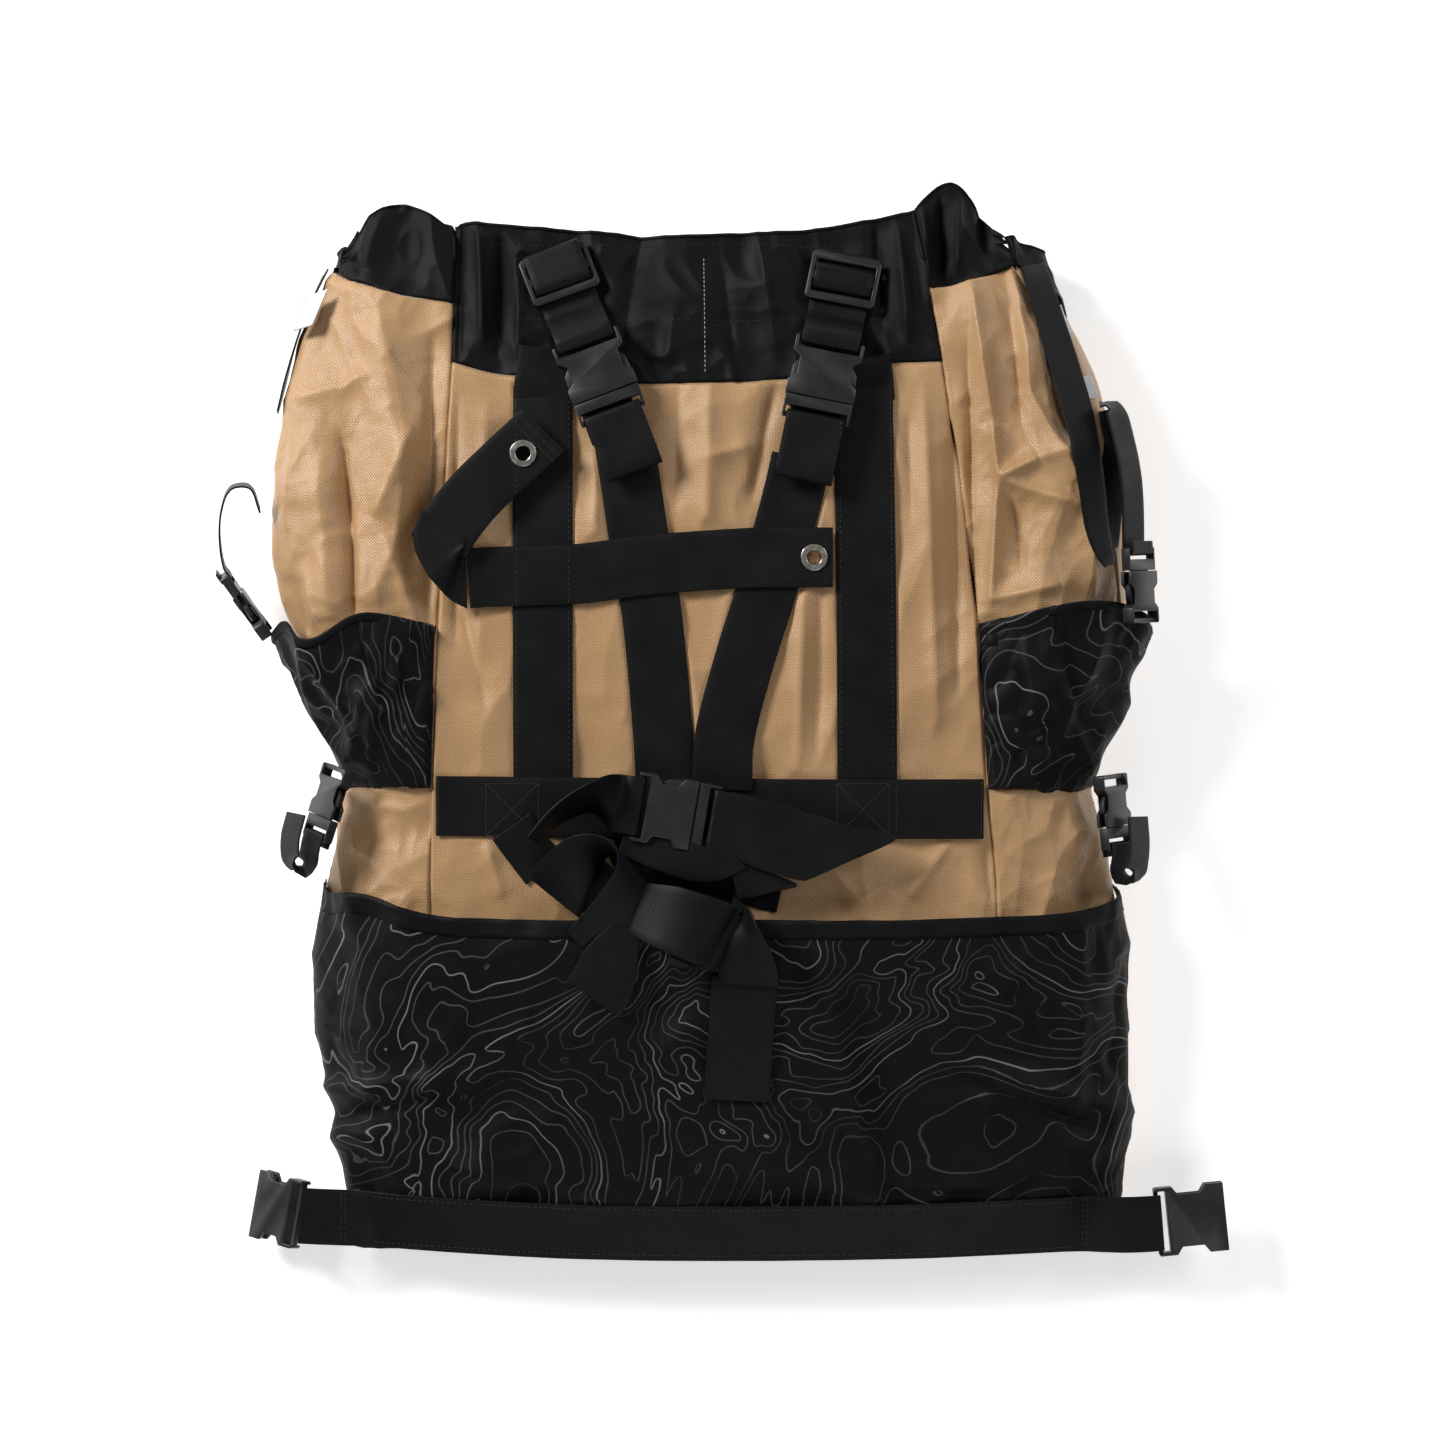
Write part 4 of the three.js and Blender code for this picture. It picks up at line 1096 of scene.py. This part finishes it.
# webbing over the sliders' middle bars: centre, heading, then steps along it and above it in mm
# the left slider is covered, the right one shows its frame
sliders = {
    "left": ((-0.104, 0.286, 0.06076), (0.35162, -0.91735, 0.18666),
             [(-17.5, 0.5), (-16, 2.4), (-8, 2.7), (0, 2.9), (7, 2.5), (9.5, 0.4), (10, -2.0)]),
    "right": ((0.077, 0.282, 0.06156), (-0.19605, -0.96065, 0.19676),
              [(-8.5, -2.2), (-7.6, 0.2), (-4.5, 2.4), (0, 2.7), (4.5, 2.4), (7.6, 0.2), (8.5, -2.2)]),
}
for side, (centre, heading, line) in sliders.items():
    along = Vector(heading).normalized()
    across = Vector((-along.y, along.x, 0)).normalized()
    up = along.cross(across).normalized()
    rows = [[Vector(centre) + along * (a * mm) + up * (h * mm), across.copy(), 18.5 * mm] for a, h in line]
    looseWeb(side.title() + "SliderWeb", rows, 8.0, body=side + "_slider", wave=0.1 * mm)

# webbing and tape dropped on to the bag from above
skinTop = treeOfPieces(*skinPieces.values())
bagTop = treeOfPieces(*skinPieces.values(), stowPanel, straps["waist_strap"])


dropLook = {
    "lift": 1.2 * mm,
    "pastEdge": 1.5 * mm,  # how far a row falls when it is past the bag's outline
    "feeler": 0.9,  # of the half width, where the slope across is felt
}


def dropped(points, half, tree, lift=dropLook["lift"], tilt=0.0):
    half *= mm
    rows = []
    for i, (x, y) in enumerate(points):
        a = Vector((*points[max(i - 1, 0)], 0))
        b = Vector((*points[min(i + 1, len(points) - 1)], 0))
        along = (b - a).normalized()
        across = Vector((along.y, -along.x, 0))
        reach = across * (half * dropLook["feeler"])
        left, middle, right = (tree.ray_cast(Vector((x, y, aboveBag)) + reach * k, down)[0] for k in (-1, 0, 1))
        if middle is None:
            if rows:
                rows.append([Vector((x, y, rows[-1][0].z - dropLook["pastEdge"])), rows[-1][1].copy(), half])
            continue
        if left is not None and right is not None:
            slope, height = (right - left).normalized(), max(middle.z, (left.z + right.z) / 2)
        else:
            slope, height = (across + Vector((0, 0, tilt))).normalized(), middle.z
        rows.append([Vector((x, y, height + lift)), slope, half])
    return rows


def eased(rows):
    # a strap under tension bridges the hollows of the cloth
    for _ in range(3):
        heights = [row[0].z for row in rows]
        slopes = [row[1].copy() for row in rows]
        for i in range(1, len(rows) - 1):
            rows[i][0].z = max(heights[i], (heights[i - 1] + heights[i + 1]) / 2)
            rows[i][1] = (slopes[i - 1] + slopes[i] + slopes[i + 1]).normalized()
    return rows


sideRows = eased(dropped(
    [(0.1985, 0.293), (0.2018, 0.282), (0.2098, 0.255), (0.2175, 0.228), (0.2242, 0.203), (0.2295, 0.178),
     (0.2340, 0.150), (0.2370, 0.128), (0.2400, 0.115), (0.2435, 0.106), (0.2465, 0.100)],
    11.5, skinTop, lift=5.4 * mm, tilt=-0.42))
for row, half in zip(sideRows[-3:], (10.5, 8.5, 5.5)):
    row[2] = half * mm
looseWeb("RightCompressionWeb", sideRows, 2.4)
looseWeb("RightLoopWeb", eased(dropped(
    [(0.2420, 0.1990), (0.2445, 0.1880), (0.2470, 0.1680), (0.2480, 0.1450), (0.2475, 0.1240),
     (0.2470, 0.1120)], 8.5, skinTop, lift=2.0 * mm, tilt=-0.3)), 2.9)
laidWeb("LeftCompressionWeb", [
    ((-0.2560, 0.290, 0.030), (0.25, 0.1, 0.96), 12), ((-0.2665, 0.268, 0.030), (0.2, 0.1, 0.97), 12),
    ((-0.2745, 0.247, 0.030), (0.15, 0.05, 0.98), 12), ((-0.2820, 0.220, 0.030), (0.1, 0.05, 0.99), 12),
    ((-0.2870, 0.200, 0.030), (0.1, 0, 0.99), 12)], 3.9)
for name, points, half in (
    ("LeftFrameTop", [(-0.1140, 0.204), (-0.1130, 0.216), (-0.1115, 0.228), (-0.1105, 0.238)], 19),
    ("RightFrameTop", [(0.0905, 0.204), (0.0900, 0.214), (0.0890, 0.224), (0.0880, 0.232)], 19),
    ("LeftShoulderTurn", [(-0.0745, 0.203), (-0.0705, 0.192), (-0.0665, 0.181)], 17),
    ("RightShoulderTurn", [(0.0605, 0.203), (0.0585, 0.192), (0.0565, 0.181)], 17),
    ("BeltBackTop", [(-0.088, -0.080), (-0.055, -0.084), (-0.022, -0.088), (0.010, -0.095)], 12),
    ("BeltBackLeft", [(-0.066, -0.086), (-0.040, -0.096), (-0.012, -0.104), (0.016, -0.112)], 13),
    ("BeltBackMiddle", [(-0.058, -0.104), (-0.034, -0.112), (-0.010, -0.118), (0.010, -0.124)], 12),
    ("BeltBackRight", [(0.006, -0.104), (0.022, -0.110), (0.036, -0.113)], 8),
    ("BeltBackLoop", [(-0.103, -0.088), (-0.092, -0.097), (-0.078, -0.107), (-0.062, -0.116)], 17),
    ("BeltBackCorner", [(-0.134, -0.066), (-0.124, -0.080), (-0.113, -0.094)], 15)):
    looseWeb(name, dropped(points, half, bagTop), half * 0.7)

# reflective tape sewn to the side panels' edges
for name, rows in (
    ("ReflectivePatchLeft", stops(
        ((-0.2595, 0.275, 0.0500), (0.9, 0.25, 0.35), 8), ((-0.2645, 0.263, 0.0500), (0.9, 0.25, 0.35), 8),
        ((-0.2685, 0.252, 0.0500), (0.9, 0.25, 0.35), 7))),
    ("ReflectivePatchRight", dropped(
        [(0.2150, 0.268), (0.2185, 0.258), (0.2215, 0.249)], 5, skinTop, lift=1.6 * mm, tilt=-0.5)),
    ("ReflectivePatchRightLow", dropped(
        [(0.2315, 0.2215), (0.2340, 0.2135), (0.2360, 0.2070)], 6.5, skinTop, lift=1.6 * mm, tilt=-0.5))):
    patch = ribbon(name, rows, thickness=strapLook["tape"], material=reflectiveTape)
    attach(patch, "pack")
print("loose webbing laid")


hemLook = {"thickness": 0.8 * mm, "lift": 0.7 * mm, "collarLift": 0.6 * mm, "collarY": 0.296, "stowY": -0.14,
           "stowZ": 0.03}


def hemBand(name, bm, isHem, rings, lift=hemLook["lift"]):
    # binding tape: the rows of faces next to a free edge, lifted off the cloth and given a wall
    copy = bm.copy()
    copy.normal_update()
    edges = [e for e in copy.edges if e.is_boundary and isHem((e.verts[0].co + e.verts[1].co) / 2)]
    picked = {f for e in edges for f in e.link_faces}
    layer = set(picked)
    for _ in range(rings - 1):
        layer = {f for p in layer for e in p.edges for f in e.link_faces} - picked
        picked |= layer
    bmesh.ops.delete(copy, geom=[f for f in copy.faces if f not in picked], context="FACES")
    for v in copy.verts:
        v.co += v.normal * lift
    piece = addPiece(name, copy, blackFabric, "black_fabric")
    thicken(piece, hemLook["thickness"] + lift)
    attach(piece, "pack")


hemBand("StowHem", stowKept, lambda p: p.y > hemLook["stowY"] and p.z > hemLook["stowZ"], 4)
for side, sheet in pocketSheets.items():
    hemBand(side.title() + "PocketHem", sheet, lambda p: p.y > pocketLook["hemY"], 3)
for name, sheet in skinSheets.items():
    if "collar" in name:
        hemBand(titled(name) + "Hem", sheet, lambda p: p.y > hemLook["collarY"], 2, hemLook["collarLift"])
print("hems bound")

stitchLook = {"length": 2.6 * mm, "pitch": 3.6 * mm, "radius": 0.28 * mm}


def stitches(name, lines, tree, material, slotName, lift=0.15 * mm, pitch=stitchLook["pitch"]):
    # a run of short rounded threads along each line, laid on whatever lies below it
    radius = stitchLook["radius"]
    scale = Matrix.Diagonal((stitchLook["length"] / 2, radius, radius, 1))
    bm = bmesh.new()
    for line in lines:
        points = [Vector((*point, 0)) for point in line]
        for a, b in zip(points, points[1:]):
            span = (b - a).length
            count = max(1, int(span / pitch))
            for k in range(count):
                at = a.lerp(b, (k + 0.5) / count)
                hit, normal, _, _ = tree.ray_cast(Vector((at.x, at.y, aboveBag)), down)
                if hit is None:
                    continue
                normal = normal if normal.z > 0 else -normal
                along = (b - a).normalized()
                along = (along - normal * along.dot(normal)).normalized()
                side = normal.cross(along)
                turn = Matrix((along, side, normal)).transposed().to_4x4()
                bmesh.ops.create_icosphere(bm, subdivisions=1, radius=1.0,
                                           matrix=Matrix.Translation(hit + normal * lift) @ turn @ scale)
    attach(addPiece(name, bm, material, slotName), "pack")


def boxStitch(x0, x1, y0, y1):
    corners = [(x0, y0), (x1, y0), (x1, y1), (x0, y1)]
    edges = [[corners[i], corners[(i + 1) % 4]] for i in range(4)]
    return edges + [corners[0::2], corners[1::2]]


def zigzagStitch(x, y, count):
    # down the strap in short steps, to and fro
    steps = [(x + 0.0015 * (i % 2), y - 0.002 * i) for i in range(count + 1)]
    return [[a, b] for a, b in zip(steps, steps[1:])]


strapTree = treeOfPieces(*straps.values())
stitches("WaistStrapStitching",
         boxStitch(0.073, 0.106, -0.072, -0.039) + boxStitch(-0.150, -0.117, -0.072, -0.039)
         + zigzagStitch(0.110, -0.040, 15)
         + [[(-0.1805, -0.037), (-0.1805, -0.070)], [(0.1645, -0.038), (0.1645, -0.071)]],
         strapTree, blackThread, "webbing", pitch=2.0 * mm)
stitches("StrapEdgeStitching", [
    [(-0.1305, 0.205), (-0.1305, -0.030)], [(-0.0975, 0.205), (-0.0975, -0.030)],
    [(0.0745, 0.205), (0.0755, -0.030)], [(0.1065, 0.205), (0.1085, -0.030)]],
    strapTree, blackThread, "webbing")
stitches("BottomStrapStitching", [
    [(-0.243, -0.302), (-0.243, -0.335)], [(-0.2455, -0.302), (-0.2455, -0.335)],
    [(0.232, -0.305), (0.232, -0.338)], [(0.2345, -0.305), (0.2345, -0.338)],
    [(-0.225, -0.305), (-0.1, -0.3115), (0, -0.313), (0.12, -0.3115), (0.225, -0.3075)],
    [(-0.225, -0.335), (-0.1, -0.342), (0, -0.3435), (0.12, -0.342), (0.225, -0.338)]],
    strapTree, blackThread, "webbing")
stitches("CrossStrapStitching", [
    [(-0.1305, 0.1885), (-0.1065, 0.1645)], [(-0.1270, 0.1920), (-0.1030, 0.1680)],
    [(0.0655, 0.0885), (0.0655, 0.1205)]], strapTree, blackThread, "webbing", pitch=2.4 * mm)
stitches("CollarCentreStitching", [[(-0.012, 0.297), (-0.0115, 0.262), (-0.011, 0.222)]],
         skinTop, whiteThread, "black_fabric", lift=0.35 * mm, pitch=2.9 * mm)
stitches("CollarHemStitching", [
    [(-0.165, 0.3085), (-0.12, 0.3045), (-0.06, 0.305), (0, 0.306), (0.06, 0.304), (0.11, 0.307)],
    [(-0.165, 0.257), (-0.10, 0.2565), (0, 0.2560), (0.08, 0.2565), (0.125, 0.2575)]],
    skinTop, blackThread, "black_fabric", lift=0.2 * mm)
print("stitched")

# stage
stageLook = {
    "camera": (0.0, 0.0, 2.5),
    "lens": 95.4,
    "sensor": 36.0,
    "floorSize": 8.0,
    "world": 0.17,
    # name, place, size in metres, power in watts
    "lights": [("Key", (-2.0, 1.5, 1.5), 0.8, 88), ("Fill", (1.9, 1.2, 1.8), 1.2, 20),
               ("Low", (0.3, -1.9, 1.9), 1.4, 10)],
}
floorMesh = bmesh.new()
bmesh.ops.create_grid(floorMesh, x_segments=4, y_segments=4, size=stageLook["floorSize"] / 2)
floor = bpy.data.objects.new("Floor", bpy.data.meshes.new("Floor"))
floorMesh.to_mesh(floor.data)
floorMesh.free()
floor.data.materials.append(floorPaint)
bpy.context.collection.objects.link(floor)

cameraData = bpy.data.cameras.new("Camera")
cameraData.lens = stageLook["lens"]
cameraData.sensor_width = stageLook["sensor"]
camera = bpy.data.objects.new("Camera", cameraData)
camera.location = stageLook["camera"]
bpy.context.collection.objects.link(camera)
bpy.context.scene.camera = camera

for name, place, size, power in stageLook["lights"]:
    data = bpy.data.lights.new(name, "AREA")
    data.shape = "SQUARE"
    data.size = size
    data.energy = power
    lamp = bpy.data.objects.new(name, data)
    lamp.location = place
    lamp.rotation_mode = "QUATERNION"
    lamp.rotation_quaternion = Vector(place).to_track_quat("Z", "Y")
    bpy.context.collection.objects.link(lamp)

world = bpy.data.worlds.new("Studio")
world.use_nodes = True
backdrop = world.node_tree.nodes["Background"]
backdrop.inputs["Color"].default_value = (1, 1, 1, 1)
backdrop.inputs["Strength"].default_value = stageLook["world"]
bpy.context.scene.world = world
bpy.context.scene.view_settings.view_transform = "Standard"
print("stage set")
